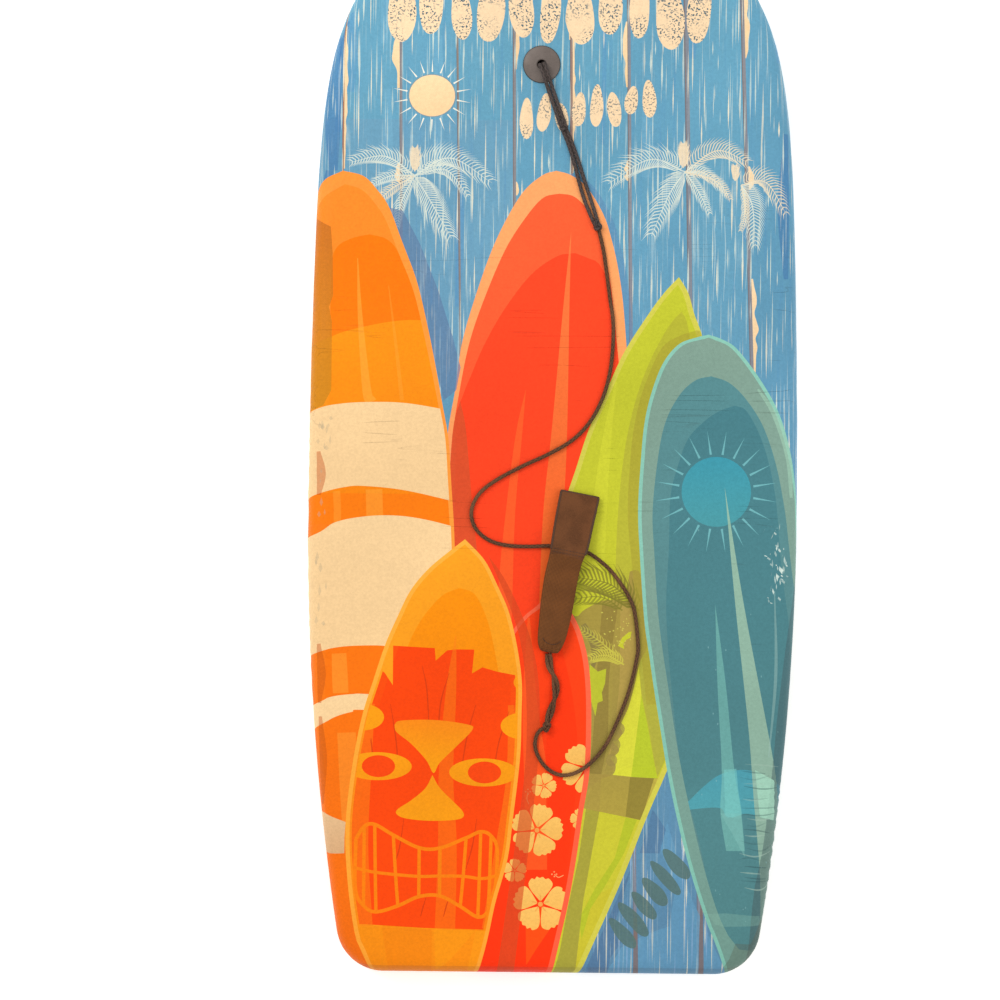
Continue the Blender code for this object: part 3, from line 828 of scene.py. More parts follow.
def palms(art, draw):
    """Crowns of palm fronds drawn in pale strokes, and faint trunks."""
    pale, cream = "#dde6dc", "#ecdfc4"
    crowns = (
        ((-136, 246), ((-160, 276, -198, 258, 11), (-110, 284, -62, 240, 14), (-104, 268, -84, 226, 9),
                       (-126, 232, -100, 186, 15), (-160, 250, -178, 236, 7), (-160, 236, -176, 214, 7),
                       (-152, 224, -152, 196, 7))),
        ((124, 252), ((96, 282, 50, 240, 15), (112, 244, 92, 190, 15), (150, 288, 184, 262, 12),
                      (140, 262, 164, 230, 7), (136, 238, 148, 212, 7), (158, 250, 168, 226, 6))),
        ((178, 240), ((200, 262, 222, 212, 12), (192, 232, 192, 180, 13), (186, 214, 178, 196, 5))),
    )
    for (x, y), fronds in crowns:
        for bend_x, bend_y, tip_x, tip_y, width in fronds:
            leaves = int(5 + math.hypot(tip_x - x, tip_y - y) / 3.4)
            frond(art, (x, y), (bend_x, bend_y), (tip_x, tip_y), width, leaves,
                  cream if draw.random() < 0.35 else pale, mix=0.85)
    for x, y, tall, wide in ((-136, 250, 28, 6.5), (122, 256, 29, 6.5), (172, 244, 18, 5)):
        frond(
            art, (x, y), (x + 1, y + tall * 0.4), (x, y + tall * 0.8), wide, int(tall / 1.9), "#f0dcbc",
            mix=0.9, wide=0.75
        )
    for x, low in ((152, 128), (162, 128), (172, 140), (183, 140)):
        art.add(taper([(x, 210), (x + 1.5, 175), (x, low)], [0.6, 1.1, 0.4]), "#b9d3dc", mix=0.55)


def pebble(art, x, y, across, up, lean, colour, mix, speckle):
    """Rounded beach pebble, broader below, tilted by lean."""
    turn = np.arange(33) * 2 * math.pi / 32
    wide = across * np.cos(turn) * (1 - 0.16 * np.sin(turn)) * (1 + 0.05 * np.cos(3 * turn + x))
    tall = up * np.sin(turn)
    loop = np.stack([x + wide + lean * tall, y + tall - lean * wide], axis=1)
    art.add(loop, colour, mix=mix, wood=0.0, speckle=speckle)


def pebbles(art):
    """Rows of beach pebbles in speckled cream ink, and a darker row along the open wedge."""
    for k in range(11):
        across = 11.5 + 2.2 * math.sin(2.1 * k + 1.0)
        pebble(art, -150 + 28.6 * k, 408 + 5 * math.sin(1.9 * k), across, 31 + 3 * math.sin(1.3 * k + 2),
               0.10 * math.sin(2.7 * k), "#fbddb6", 1.0, 1.0)
    for k in range(8):
        pebble(art, -29 + 16.8 * k, 302 + 2.7 * k + 4 * math.sin(2.2 * k), 6.4 + 0.9 * math.sin(3.1 * k),
               17 + 3.5 * math.sin(1.7 * k + 1), 0.16 * math.sin(2.3 * k), "#fbddb6", 1.0, 0.75)
    for k in range(6):
        pebble(
            art, 71 + 10.2 * k, -480 + 13.4 * k, 4.7 + 0.5 * math.sin(2.9 * k), 14 + 2 * math.sin(1.9 * k),
            -0.9, "#56736f", 0.88, 0.35
        )


def orange_board(art, draw):
    """Orange surfboard along the left rail, with cream bands across it and a scuffed far edge."""
    left = [
        (-205, 250), (-226, 239), (-246, 214), (-262, 180), (-276, 130), (-288, 60), (-298, -100),
        (-298, -600)
    ]
    right = [
        (-205, 250), (-185, 245), (-171, 231), (-160, 215), (-148, 184), (-133, 145), (-122, 101),
        (-113, 58), (-107, 26), (-101, -6), (-98, -47), (-94, -107), (-92, -200), (-96, -300), (-110, -420),
        (-130, -600)
    ]
    edge = sides(left, right, 80)
    whole = closed(edge)
    shade = [
        (-160, 215), (-147, 212), (-130, 180), (-112, 135), (-98, 92), (-90, 62), (-94, 40), (-106, 30),
        (-133, 145)
    ]
    art.add(shade, "#5f7ea6", mix=0.75)
    art.add(whole, "#ff9a3c", "#ffa23e", wood=0.0)
    fill = tall_loop(
        [(-203, 237), (-226, 222), (-244, 196), (-262, 150), (-290, 40), (-292, -600)],
        [
            (-203, 237), (-187, 232), (-174, 219), (-163, 202), (-151, 172), (-136, 135), (-125, 91),
            (-116, 50), (-110, 20), (-105, -10), (-102, -50), (-98, -107), (-96, -200), (-100, -300),
            (-114, -420), (-134, -600)
        ], 70
    )
    art.add(fill, "#fb8e28", "#f57c10")
    dome = tall_loop(
        [(-179, 189), (-196, 185), (-211, 175), (-215, 150), (-216, 40), (-218, -600)],
        [
            (-179, 189), (-163, 185), (-151, 172), (-136, 135), (-125, 91), (-116, 50), (-110, 20),
            (-105, -10), (-102, -50), (-98, -107), (-96, -200), (-100, -300), (-114, -420), (-134, -600)
        ], 60
    )
    art.add(dome, "#ff7c00", "#f77608", within=fill)
    art.add(band([(-300, 62), (-231, 84), (-200, 96), (-160, 105), (-129, 107), (-96, 102)],
                 [(-300, -90), (-200, -90), (-90, -90)]), "#fb9c10", "#fa8a06", mix=0.75, within=fill)
    art.add(band([(-300, -60), (-180, -60), (-90, -60)], [(-300, -600), (-200, -600), (-90, -600)]),
            "#ff7a04", "#f2680c", mix=0.7, within=fill)
    for loop, strength in (
        (taper([(-190, 166), (-187, 110), (-180, 40), (-175, 28)], [0.8, 4.5, 8.5, 9.5]), 0.5),
        (taper([(-160, 140), (-152, 80), (-146, 30)], [0.8, 3.0, 4.0]), 0.25),
        (taper([(-172, -56), (-171, -80), (-170, -90)], [16, 16, 16]), 0.4),
        (taper([(-208, -58), (-207, -75), (-207, -88)], [7, 7, 7]), 0.3),
        (taper([(-204, -214), (-203, -235), (-202, -252)], [14, 15, 15]), 0.35),
        (taper([(-196, -290), (-192, -380), (-186, -470)], [18, 14, 2]), 0.3),
    ):
        art.add(loop, "#ffae3e", mix=strength, within=fill)
    cream = "#f7d3a0"
    bands = (
        ([(-300, -5), (-231, 20), (-205, 26), (-174, 28), (-140, 27), (-96, 20)],
         [(-300, -90), (-232, -63), (-200, -54), (-178, -53), (-140, -57), (-90, -68)]),
        ([(-300, -118), (-232, -101), (-209, -88), (-180, -82), (-150, -81), (-120, -85), (-80, -95)],
         [(-300, -240), (-230, -215), (-205, -208), (-174, -206), (-150, -207), (-80, -212)]),
        ([(-300, -288), (-228, -263), (-212, -256), (-191, -253), (-172, -253), (-80, -258)],
         [(-300, -320), (-226, -285), (-207, -275), (-191, -270), (-179, -268), (-80, -272)]),
    )
    inner = closed(narrowed(edge, 3.0))
    for top, low in bands:
        art.add(band(top, low), cream, "#f5cf9a", within=inner)
    art.add(
        [(-240, -366), (-218, -368), (-196, -376), (-197, -391), (-197, -406), (-214, -407), (-240, -404)],
        "#e8c092", "#d9ac80", within=inner
    )
    worn = [
        (-260, 206), (-232, 204), (-216, 196), (-214, 170), (-213, 130), (-217, 119), (-214, 105),
        (-214, 39), (-222, 24), (-260, 10)
    ]
    art.add(worn, "#bd6a1e", "#c98a1a", mix=0.75, within=whole)
    for x, top, low in ((-226, -20, -62), (-224, -205, -262), (-222, -275, -360)):
        art.add(
            taper([(x, top), (x + 3, (top + low) / 2), (x + 1, low)], [4, 9, 4]), "#c8590c", mix=0.55,
            within=whole
        )
    for k in range(26):
        y = draw.uniform(-200, -50) if k % 2 else draw.uniform(-52, 18)
        x = draw.uniform(-228, -214)
        art.add(
            spindle(x, y, y - draw.uniform(4, 12), draw.uniform(1.5, 5)), "#b9a98c", mix=0.35, within=whole
        )


def red_board(art):
    """Red surfboard in the middle, with a wide peach rim at its nose."""
    edge = sides(
        [
            (0, 252), (-14, 247), (-34, 228), (-57, 185), (-75, 135), (-89, 85), (-95, 40), (-102, -6),
            (-104, -80), (-100, -160), (-90, -260), (-80, -600)
        ],
        [
            (0, 252), (14, 248), (30, 236), (46, 210), (54, 186), (60, 161), (65, 130), (69, 87), (72, 40),
            (70, -40), (56, -180), (-20, -600)
        ], 80
    )
    whole = closed(edge)
    art.add(closed((edge[0][4:60], edge[2][4:60] - 20, edge[2][4:60] + 7)), "#5a86b4", "#5f84ae", mix=0.5)
    art.add(whole, "#ffa96a", "#ff8f4e", wood=0.0)
    fill = sides(
        [
            (3, 230), (-12, 226), (-28, 208), (-48, 176), (-68, 128), (-82, 85), (-91, 38), (-97, -6),
            (-100, -80), (-96, -160), (-86, -260), (-76, -600)
        ],
        [
            (3, 230), (16, 228), (28, 218), (41, 198), (48, 172), (54, 140), (60, 87), (64, 40), (64, -40),
            (50, -180), (-24, -600)
        ], 80
    )
    inside_fill = closed(fill)
    art.add(inside_fill, "#ff6034", "#ff4a20")
    art.add(
        tall_loop(
            [
                (19, 173), (2, 170), (-23, 152), (-48, 119), (-67, 85), (-80, 54), (-90, 24), (-94, -40),
                (-94, -600)
            ], [(19, 173), (32, 168), (44, 160), (60, 120), (64, 40), (60, -80), (60, -600)], 60
        ), "#ff4722", "#ff3c0a", within=inside_fill
    )
    art.add(
        tall_loop(
            [(-27, 42), (-36, 0), (-45, -75), (-52, -160), (-56, -300)],
            [(-27, 42), (-30, 0), (-36, -75), (-38, -160), (-40, -300)], 30
        ), "#ff6a2c", mix=0.55, within=inside_fill
    )
    art.add(tall_loop([(15, 195), (8, 120), (-2, 0), (-9, -74), (-12, -160), (-14, -240)],
                         [(15, 195), (14, 120), (13, 0), (10, -74), (2, -160), (-2, -240)], 40),
            "#f98a4a", "#e8701c", mix=0.62, within=inside_fill)
    art.add(
        tall_loop(
            [(-90, 30), (-97, 0), (-101, -75), (-103, -140), (-103, -300)],
            [(-90, 30), (-84, 0), (-77, -75), (-70, -140), (-60, -300)], 30
        ), "#d8512a", mix=0.85, within=whole
    )


def lime_board(art, draw):
    """Lime surfboard with an island in olive: leaning palm leaves, a headland and sun rays behind it."""
    edge = sides(
        [
            (119, 151), (106, 137), (92, 118), (68, 80), (52, 45), (34, 4), (21, -37), (10, -70), (3, -100),
            (-5, -200), (-8, -330), (-5, -600)
        ],
        [
            (119, 151), (128, 136), (134, 116), (143, 90), (150, 40), (152, -60), (146, -180), (128, -280),
            (113, -322), (94, -367), (68, -434), (39, -500), (-4, -600)
        ], 90
    )
    whole = closed(edge)
    art.add(whole, "#d2ce52", "#cfc94c", wood=0.0)
    fill = closed(narrowed(edge, 4.5, 5.0))
    art.add(fill, "#c2c832", "#c8c82e")
    art.add(
        tall_loop(
            [(122, 118), (110, 104), (92, 70), (78, 30), (68, -20), (62, -90), (60, -200), (58, -320)],
            [(122, 118), (128, 104), (134, 60), (138, 0), (140, -90), (130, -200), (100, -330)], 40
        ), "#b4b336", "#b4b03c", mix=0.8, within=fill
    )
    art.add(
        taper([(60, 52), (52, 0), (46, -60), (42, -130)], [1, 8, 13, 16]), "#d2d638", mix=0.6, within=fill
    )
    # Sky behind the island, with rays that fan downward
    rays = (
        (
            [
                (84, -224), (87, -251), (84, -279), (78, -330), (60, -328), (61, -317), (65, -300),
                (67, -283), (73, -265), (79, -245)
            ], "#dadb3e"
        ), ([(87, -251), (93, -279), (103, -331), (78, -330), (84, -279)], "#b9ca2c"),
        (
            [
                (85, -220), (92, -204), (98, -239), (106, -290), (112, -310), (103, -330), (95, -284),
                (87, -249)
            ], "#b0ae40"
        ), ([(26, -359), (60, -367), (91, -373), (60, -560), (10, -560)], "#c9c535"),
        ([(36, -449), (63, -435), (56, -481), (37, -560), (14, -560), (29, -489)], "#c9bf30"),
        (
            [
                (73, -369), (84, -371), (72, -403), (54, -435), (40, -457), (32, -486), (29, -467),
                (44, -438), (63, -408)
            ], "#b2bf2a"
        ),
        (
            [
                (45, -314), (49, -328), (48, -362), (41, -403), (33, -450), (29, -489), (22, -560),
                (-6, -560), (5, -520), (11, -498), (18, -458), (28, -410), (35, -360)
            ], "#a29b3c"
        ),
    )
    for loop, colour in rays:
        art.add(loop, colour, mix=0.9, within=fill)
    # Island: one mass with scalloped bushes on its right, a bay, a hull and a lighter slope
    mass = [
        (10, -165), (23, -176), (31, -170), (48, -161), (63, -160), (74, -161), (73, -151), (74, -137),
        (76, -132), (85, -135), (89, -171), (92, -202), (89, -212), (85, -220), (80, -243), (74, -265),
        (67, -280), (69, -288), (64, -295), (60, -296), (66, -303), (64, -308), (58, -312), (63, -319),
        (60, -328), (46, -334), (20, -358), (0, -358), (0, -176)
    ]
    island = catmull_rom(np.array(mass + mass[:1], float), 4)
    art.add(island, "#a28d42", "#9f8c48", mix=0.92, within=fill)
    art.add([(66, -164), (77, -168), (82, -212), (72, -259), (59, -298), (49, -334), (60, -300), (66, -240)],
            "#b39a4e", mix=0.8, within=fill)
    art.add(taper([(88, -150), (86, -180), (84, -214)], [5, 7, 2]), "#8e8044", mix=0.8, within=fill)
    art.add(
        taper([(56, -165), (50, -230), (48, -290), (42, -335)], [15, 12, 14, 12]), "#8b7838", mix=0.7,
        within=fill
    )
    art.add(taper([(30, -184), (42, -204), (40, -226)], [6, 9, 3]), "#857743", mix=0.85, within=fill)
    art.add(
        [
            (37, -222), (45, -229), (53, -226), (52, -240), (49, -249), (50, -257), (45, -259), (43, -272),
            (40, -262), (37, -250)
        ], "#bcc430", mix=0.9, within=fill
    )
    art.add([(64, -204), (68, -196), (74, -191), (77, -190), (76, -196), (72, -198), (69, -202), (70, -207)],
            "#c8cc30", mix=0.95, within=fill)
    art.add([(20, -326), (59, -328), (81, -330), (103, -331), (99, -351), (91, -372), (60, -366), (20, -358)],
            "#a48f44", "#ae9844", mix=0.9, within=fill)
    art.add([(77, -330), (103, -331), (90, -372), (73, -368)], "#8c7e34", mix=0.8, within=fill)
    art.add([(100, -331), (104, -331), (92, -372), (88, -371)], "#c4b448", mix=0.8, within=fill)
    for x, y in ((71, -284), (67, -299), (64, -314), (34, -262), (36, -276)):
        art.add(ellipse(x - 5, y, 5.4, 6.2, 16), "#9c8a48", mix=0.75, within=fill)
    frond(art, (84, -170), (64, -138), (20, -138), 19, 19, "#7f7a2c", mix=0.8, wide=1.05)
    frond(art, (68, -170), (54, -150), (16, -160), 11, 13, "#7f7a2c", mix=0.7, wide=1.0)
    frond(art, (70, -222), (56, -208), (38, -216), 9, 14, "#c9c24c", mix=0.85, wide=0.8)
    frond(art, (64, -214), (46, -198), (28, -188), 7, 12, "#c9c24c", mix=0.6, wide=0.7)
    for _ in range(34):
        x, y = draw.uniform(48, 76), draw.uniform(-206, -170)
        art.add(
            ellipse(x, y, draw.uniform(0.5, 1.2), draw.uniform(0.5, 0.9), 6), "#cfc85a", mix=0.8,
            within=fill
        )
    shadow = sides(
        [
            (136, 100), (117, 93), (102, 81), (87, 46), (80, 21), (75, -13), (72, -73), (76, -120),
            (84, -190), (92, -260)
        ], [(136, 100), (141, 96), (146, 60), (146, 0), (146, -60), (146, -120), (146, -190), (146, -260)],
        40
    )
    art.add(closed(shadow), "#a79c34", mix=0.55, within=whole)


def blossom_board(art):
    """Red surfboard with hibiscus blossoms and a pink rim on its right."""
    edge = sides(
        [
            (0, -155), (-8, -160), (-15, -167), (-25, -175), (-35, -187), (-44, -204), (-54, -240),
            (-60, -300), (-66, -420), (-76, -600)
        ],
        [
            (0, -155), (10, -162), (20, -174), (29, -193), (36, -222), (39, -263), (38, -324), (32, -365),
            (26, -409), (19, -451), (10, -492), (-14, -600)
        ], 80
    )
    whole = closed(edge)
    art.add(whole, "#ff6a48", "#ff5a3c", wood=0.0)
    fill = closed(narrowed(edge, 3.5, 5.0))
    art.add(fill, "#ff4410", "#ff2e00")
    art.add(
        taper([(-22, -178), (-20, -260), (-14, -330), (-12, -420)], [2, 14, 22, 20]), "#ff6424", mix=0.6,
        within=fill
    )
    art.add(
        tall_loop(
            [(6, -190), (-2, -260), (-4, -330), (0, -440)], [(6, -190), (22, -260), (26, -330), (14, -440)],
            24
        ), "#ff3604", mix=0.8, within=fill
    )
    art.add([(-22, -472), (-6, -452), (6, -470), (-12, -497), (-21, -512)], "#ff4f0a", mix=0.9, within=fill)
    for x, y, reach, turn in (
        (-6, -339, 12.5, 1.2), (-12, -382, 25.5, 1.35), (-33, -421, 11.5, 0.3), (-8, -453, 26.5, 1.57),
        (35, -322, 25, 0.95), (30, -371, 10.5, 0.5)
    ):
        flower(art, x, y, reach, turn, fill)
    for points in ([(-21, -345), (-22, -352), (-20, -357)], [(5, -424), (9, -427), (14, -425)]):
        art.add(taper(points, [0.6, 0.8, 0.6]), "#f6b070", mix=0.9, within=fill)
        x, y = points[0]
        for k in range(4):
            art.add(ellipse(x + 2.2 * math.cos(k * 1.6), y + 2.2 * math.sin(k * 1.6), 0.8, 0.8, 6), "#f6b070",
                    mix=0.8, within=fill)
    shade = tall_loop(
        [
            (-62, -118), (-52, -140), (-40, -168), (-30, -200), (-24, -245), (-24, -320), (-36, -420),
            (-60, -600)
        ],
        [
            (-62, -118), (-46, -140), (-30, -172), (-18, -205), (-11, -250), (-12, -320), (-22, -420),
            (-42, -600)
        ], 40
    )
    art.add(
        shade, "#d5481e", mix=0.72,
        within=tall_loop([(-80, -100), (-100, -200), (-100, -600)], [(-80, -100), (34, -200), (34, -600)])
    )


def mask_board(art):
    """Yellow surfboard with a carved mask: rimmed eyes, a waisted nose and a mouth full of teeth."""
    edge = sides(
        [
            (-84, -103), (-98, -114), (-119, -132), (-136, -153), (-149, -180), (-160, -206), (-171, -240),
            (-181, -273), (-189, -314), (-195, -362), (-196, -395), (-194, -428), (-190, -461),
            (-184, -491), (-174, -514), (-150, -600)
        ],
        [
            (-84, -103), (-65, -123), (-52, -148), (-41, -173), (-33, -205), (-28, -239), (-28, -271),
            (-29, -313), (-35, -369), (-40, -410), (-51, -451), (-58, -485), (-66, -516), (-90, -600)
        ], 90
    )
    whole = closed(edge)
    art.add(whole, "#ffb23e", "#ffa030", wood=0.0)
    fill = closed(narrowed(edge, 4.0, 3.6))
    art.add(fill, "#fba21e", "#f99006")
    dome = tall_loop(
        [(-89, -150), (-106, -158), (-126, -182), (-140, -212), (-150, -250), (-158, -300), (-160, -600)],
        [(-89, -150), (-74, -156), (-62, -180), (-54, -212), (-48, -250), (-46, -300), (-50, -600)], 50
    )
    art.add(dome, "#fb9200", "#f28200", within=fill)
    panel = [
        (-192, -226), (-174, -222), (-160, -232), (-152, -244), (-152, -206), (-133, -207), (-112, -208),
        (-111, -220), (-100, -210), (-92, -209), (-74, -209), (-76, -232), (-66, -226), (-52, -230),
        (-30, -234), (-20, -300), (-26, -400), (-44, -486), (-60, -478), (-120, -477), (-176, -474),
        (-196, -474), (-206, -380)
    ]
    panel_fill = closed(narrowed(edge, 13.0, 11.0))
    art.add(panel, "#fa4e02", "#fb4800", within=closed(narrowed(edge, 6.0, 6.0)))
    art.add(panel, "#fa4600", "#ff4a00", within=panel_fill)
    art.add(
        taper([(-92, -196), (-96, -250), (-100, -330), (-98, -400), (-100, -500)], [1, 10, 14, 18, 20]),
        "#fb7f10", mix=0.45, within=fill
    )
    art.add(
        taper([(-172, -262), (-180, -330), (-184, -400), (-180, -476)], [6, 16, 20, 22]), "#fb8010",
        mix=0.5, within=fill
    )
    art.add(
        taper([(-38, -262), (-36, -330), (-44, -400), (-56, -478)], [6, 12, 16, 16]), "#fb8010", mix=0.5,
        within=fill
    )
    for points in (
        [(-124, -225), (-119, -250), (-116, -300)], [(-98, -232), (-106, -262), (-108, -300)],
        [(-72, -262), (-80, -292), (-86, -330)], [(-40, -268), (-50, -300), (-54, -330)],
        [(-178, -272), (-172, -300), (-170, -330)], [(-154, -262), (-148, -300), (-146, -330)],
        [(-140, -372), (-144, -400), (-150, -420)], [(-70, -372), (-74, -398), (-80, -420)],
        [(-118, -448), (-121, -458), (-123, -466)], [(-96, -448), (-99, -458), (-101, -466)]
    ):
        art.add(taper(points, [0.5, 1.3, 0.7]), "#cf3c08", mix=0.8, within=panel_fill)
    yellow = "#fb9e0c"
    inner = closed(narrowed(edge, 5.0, 4.0))
    for x, y in ((-182, -275), (-26, -282)):
        art.add(ellipse(x, y, 22, 13, 28), yellow, within=inner)
        art.add(ellipse(x, y + 42, 10, 8, 20), yellow, mix=0.8, within=inner)
    # Brow and nose, tip to tip, and the eyes
    top = catmull_rom(
        np.array(
            [
                (-150, -282), (-144, -278), (-112, -277), (-80, -281), (-75, -286), (-90, -302),
                (-106, -318), (-112, -328), (-119, -316), (-134, -300), (-148, -289), (-150, -282)
            ], float
        ), 6
    )
    art.add(top, "#fb8c12", "#fba20c", within=inner)
    low = catmull_rom(
        np.array(
            [
                (-113, -330), (-106, -342), (-94, -354), (-84, -364), (-83, -370), (-92, -373),
                (-116, -374), (-138, -372), (-147, -368), (-146, -363), (-134, -355), (-120, -343),
                (-113, -330)
            ], float
        ), 6
    )
    art.add(low, "#fb9a10", "#fb9e0c", within=inner)
    for x in (-166, -64):
        y = -322 if x < -100 else -327
        art.add(ellipse(x, y, 33, 13.5, 40), yellow, "#f9980a", within=inner)
        art.add(ellipse(x + 1, y, 16, 10.5, 32), "#fa4804", within=inner)
    # Mouth: a rim between two bowed lips, a line through it, and teeth
    upper = np.array(
        [
            (-186, -392), (-178, -380), (-168, -378), (-150, -388), (-125, -400), (-105, -400), (-80, -390),
            (-66, -384), (-56, -388), (-50, -402)
        ], float
    )
    lower = np.array(
        [
            (-186, -440), (-178, -456), (-166, -462), (-145, -456), (-125, -447), (-105, -446), (-85, -456),
            (-68, -466), (-58, -460), (-52, -442)
        ], float
    )
    middle = (upper + lower) / 2
    middle[:, 1] -= 4
    rim = np.concatenate([upper, lower[::-1], upper[:1]])
    art.add(taper(rim, np.full(len(rim), 3.4)), "#fb8206", within=inner)
    art.add(taper(middle, np.full(len(middle), 3.0)), "#fb8206", within=inner)
    for k in range(1, 9):
        art.add(taper([upper[k], middle[k], lower[k]], [3.2, 3.2, 3.2]), "#fb8206", within=inner)
    art.add(
        [(-206, -475), (-120, -477), (-40, -480), (-30, -600), (-190, -600)], "#f9900a", "#f78408",
        within=fill
    )
    art.add([(-110, -478), (-70, -479), (-92, -505), (-108, -520)], "#fb980c", mix=0.7, within=fill)
    art.add([(-160, -477), (-112, -478), (-112, -540), (-150, -540)], "#f27e04", mix=0.45, within=fill)
    art.add([(-70, -479), (-44, -480), (-62, -520), (-78, -520)], "#fb9a10", mix=0.6, within=fill)


def teal_board(art, draw):
    """Teal surfboard along the right rail, with a light rim, a rayed disc, long pale reflections and painted
    shade down its right rail.
    """
    left = [
        (148, 96), (136, 93), (119, 86), (104, 67), (93, 37), (87, 8), (84, -29), (82, -73), (84, -114),
        (89, -179), (94, -212), (99, -245), (106, -286), (113, -326), (124, -376), (137, -424), (152, -469),
        (166, -504), (196, -600)
    ]
    right = [
        (148, 96), (160, 92), (175, 83), (197, 55), (216, 22), (229, -19), (238, -60), (250, -120),
        (298, -180), (298, -600)
    ]
    edge = sides(left, right, 90)
    whole = closed(edge)
    art.add(whole, "#8ccaba", "#7dbcae", wood=0.0)
    ring = closed(narrowed(edge, 3.4))
    art.add(ring, "#82a296", "#6f9a92")
    inner = narrowed(edge, 15.0)
    first = tall_loop(
        [
            (151, 56), (136, 52), (121, 38), (108, 13), (101, -20), (96, -73), (98, -114), (103, -179),
            (113, -245), (127, -326), (151, -424), (172, -480), (196, -500), (260, -508)
        ],
        [
            (151, 56), (168, 50), (184, 35), (201, 9), (214, -28), (223, -72), (234, -140), (260, -200),
            (298, -508)
        ], 80
    )
    art.add(first, "#568c94", "#5a8486", within=ring)
    second = tall_loop(
        [
            (174, 28), (158, 22), (143, 11), (129, -5), (120, -30), (113, -60), (112, -110), (110, -170),
            (116, -245), (127, -326), (151, -424), (180, -600)
        ], [(174, 28), (186, 22), (202, -10), (214, -60), (222, -140), (240, -250), (290, -600)], 70
    )
    art.add(second, "#467e8a", "#52858a", within=first)
    art.add(ellipse(157, -55, 33.4, 33.6), "#3c98ae", "#4a9aa6", within=first)
    for k in range(20):
        turn = math.radians(9 + 18 * k)
        cosine, sine = math.cos(turn), math.sin(turn)
        art.add(
            [
                (157 + 36 * cosine - 1.1 * sine, -55 + 36 * sine + 1.1 * cosine),
                (157 + 59 * cosine, -55 + 59 * sine),
                (157 + 36 * cosine + 1.1 * sine, -55 + 36 * sine - 1.1 * cosine)
            ], "#7cc4cc", mix=0.7, within=first
        )
    art.add(
        band(
            [
                (122, -362), (134, -352), (147, -339), (163, -327), (183, -322), (201, -325), (215, -333),
                (290, -372)
            ], [(122, -364), (140, -360), (164, -359), (171, -368), (190, -364), (216, -371), (290, -384)]
        ), "#4a9cb0", "#52a2ae", mix=0.9, within=first
    )
    art.add(
        tall_loop(
            [(157, -163), (160, -240), (165, -322), (164, -362), (170, -400)],
            [(157, -163), (168, -240), (177, -322), (184, -362), (188, -400)], 40
        ), "#7cc0b8", mix=0.5, within=first
    )
    art.add([(164, -364), (184, -364), (188, -406), (176, -384)], "#7cb8b4", mix=0.45, within=first)
    art.add(tall_loop([(165, -50), (176, -160), (190, -280), (196, -350), (204, -440), (212, -600)],
                         [(165, -50), (184, -160), (208, -280), (222, -350), (240, -440), (262, -600)], 50),
            "#9fc4ae", "#8fae9c", mix=0.78, within=first)
    # Painted shade down the right rail, where the cover curves over it
    art.add(
        tall_loop(
            [(240, -130), (228, -190), (219, -260), (213, -330), (205, -400), (196, -450), (186, -600)],
            [(240, -130), (290, -190), (290, -600)], 40
        ), "#47666e", "#4a5f60", mix=0.6, within=whole
    )
    art.add(taper([(214, -150), (216, -230), (210, -310)], [1, 3.0, 1.2]), "#9cc0bc", mix=0.35, within=ring)
    art.add(
        taper([(230, -60), (226, -20), (212, 20), (196, 44)], [4, 6, 5, 2]), "#9cc8b4", mix=0.6,
        within=whole
    )
    for _ in range(46):
        x, y = 216 + draw.normal(0, 6), -118 + draw.normal(0, 20)
        run, tall = draw.uniform(-2.5, 2.5), draw.uniform(1.5, 9)
        art.add(
            [(x, y), (x + run + 0.7, y - tall * 0.6), (x + run, y - tall), (x - 0.5, y - tall * 0.5)],
            "#d4e6e0", mix=draw.uniform(0.3, 0.9), within=ring
        )
    for _ in range(26):
        x, y = draw.uniform(140, 225), draw.uniform(-480, -60)
        art.add(
            ellipse(x, y, draw.uniform(0.3, 0.7), draw.uniform(0.5, 1.2), 8), "#8fc0c4", mix=0.4,
            within=ring
        )
    art.add(
        [(153, -461), (170, -460), (204, -463), (206, -472), (170, -473), (160, -471)], "#8fc0b0", mix=0.22,
        within=ring
    )
    art.add([(197, -322), (216, -332), (218, -371), (202, -367)], "#a4d6c2", mix=0.75, within=first)
    art.add(
        [(167, -322), (179, -321), (181, -341), (185, -365), (176, -368), (169, -366)], "#78c6c4", mix=0.5,
        within=first
    )
    # Painted shade on the tail's right corner, where the rail turns down, and painted shade and painted
    # highlights on the cloth's wrinkles round the rail
    art.add(
        [
            (180, -489), (195, -490), (206, -468), (240, -460), (240, -560), (160, -560), (167, -515),
            (174, -504)
        ], "#5b5f50", mix=0.4, within=whole
    )
    for k in range(22):
        x, y = 181 + draw.uniform(0, 9), -318 - 5.6 * k + draw.normal(0, 1.2)
        run = draw.uniform(16, 36)
        art.add(
            taper(
                [(x, y), (x + run / 2, y - 1.5 + draw.normal(0, 1)), (x + run, y + draw.normal(0, 1.5))],
                [0.3, 1.5, 0.5]
            ), "#2f4e54" if k % 3 else "#a8c4b8", mix=draw.uniform(0.2, 0.5), within=whole
        )


def artwork():
    """The whole print from the back to the front, with painted shade and highlights where the cover turns
    over the rails. The random draws give the same print each time.
    """
    draw = np.random.default_rng(11)
    art = Artwork()
    planks(art, draw)
    strokes(art, draw)
    peelings(art, draw)
    sun(art)
    palms(art, draw)
    pebbles(art)
    red_board(art)
    orange_board(art, draw)
    lime_board(art, draw)
    blossom_board(art)
    mask_board(art)
    teal_board(art, draw)
    # Painted shade along the tail's rail, where the cover turns down over it
    art.add([(-FAR, -514), (FAR, -514), (FAR, -600), (-FAR, -600)], "#4c3c30", mix=0.2)
    return art.shapes


# ---------------------------------------------------------------- printed cover

RAIL_STEPS = (0.0, 3.2, 6.4, 9.6, 12.8, 16.2, 19.8, 23.6, 29.0, 35.0, 41.0, 47.0, 52.0)  # mm past the flat
GRID = 7.5  # mm between the cover's plain points


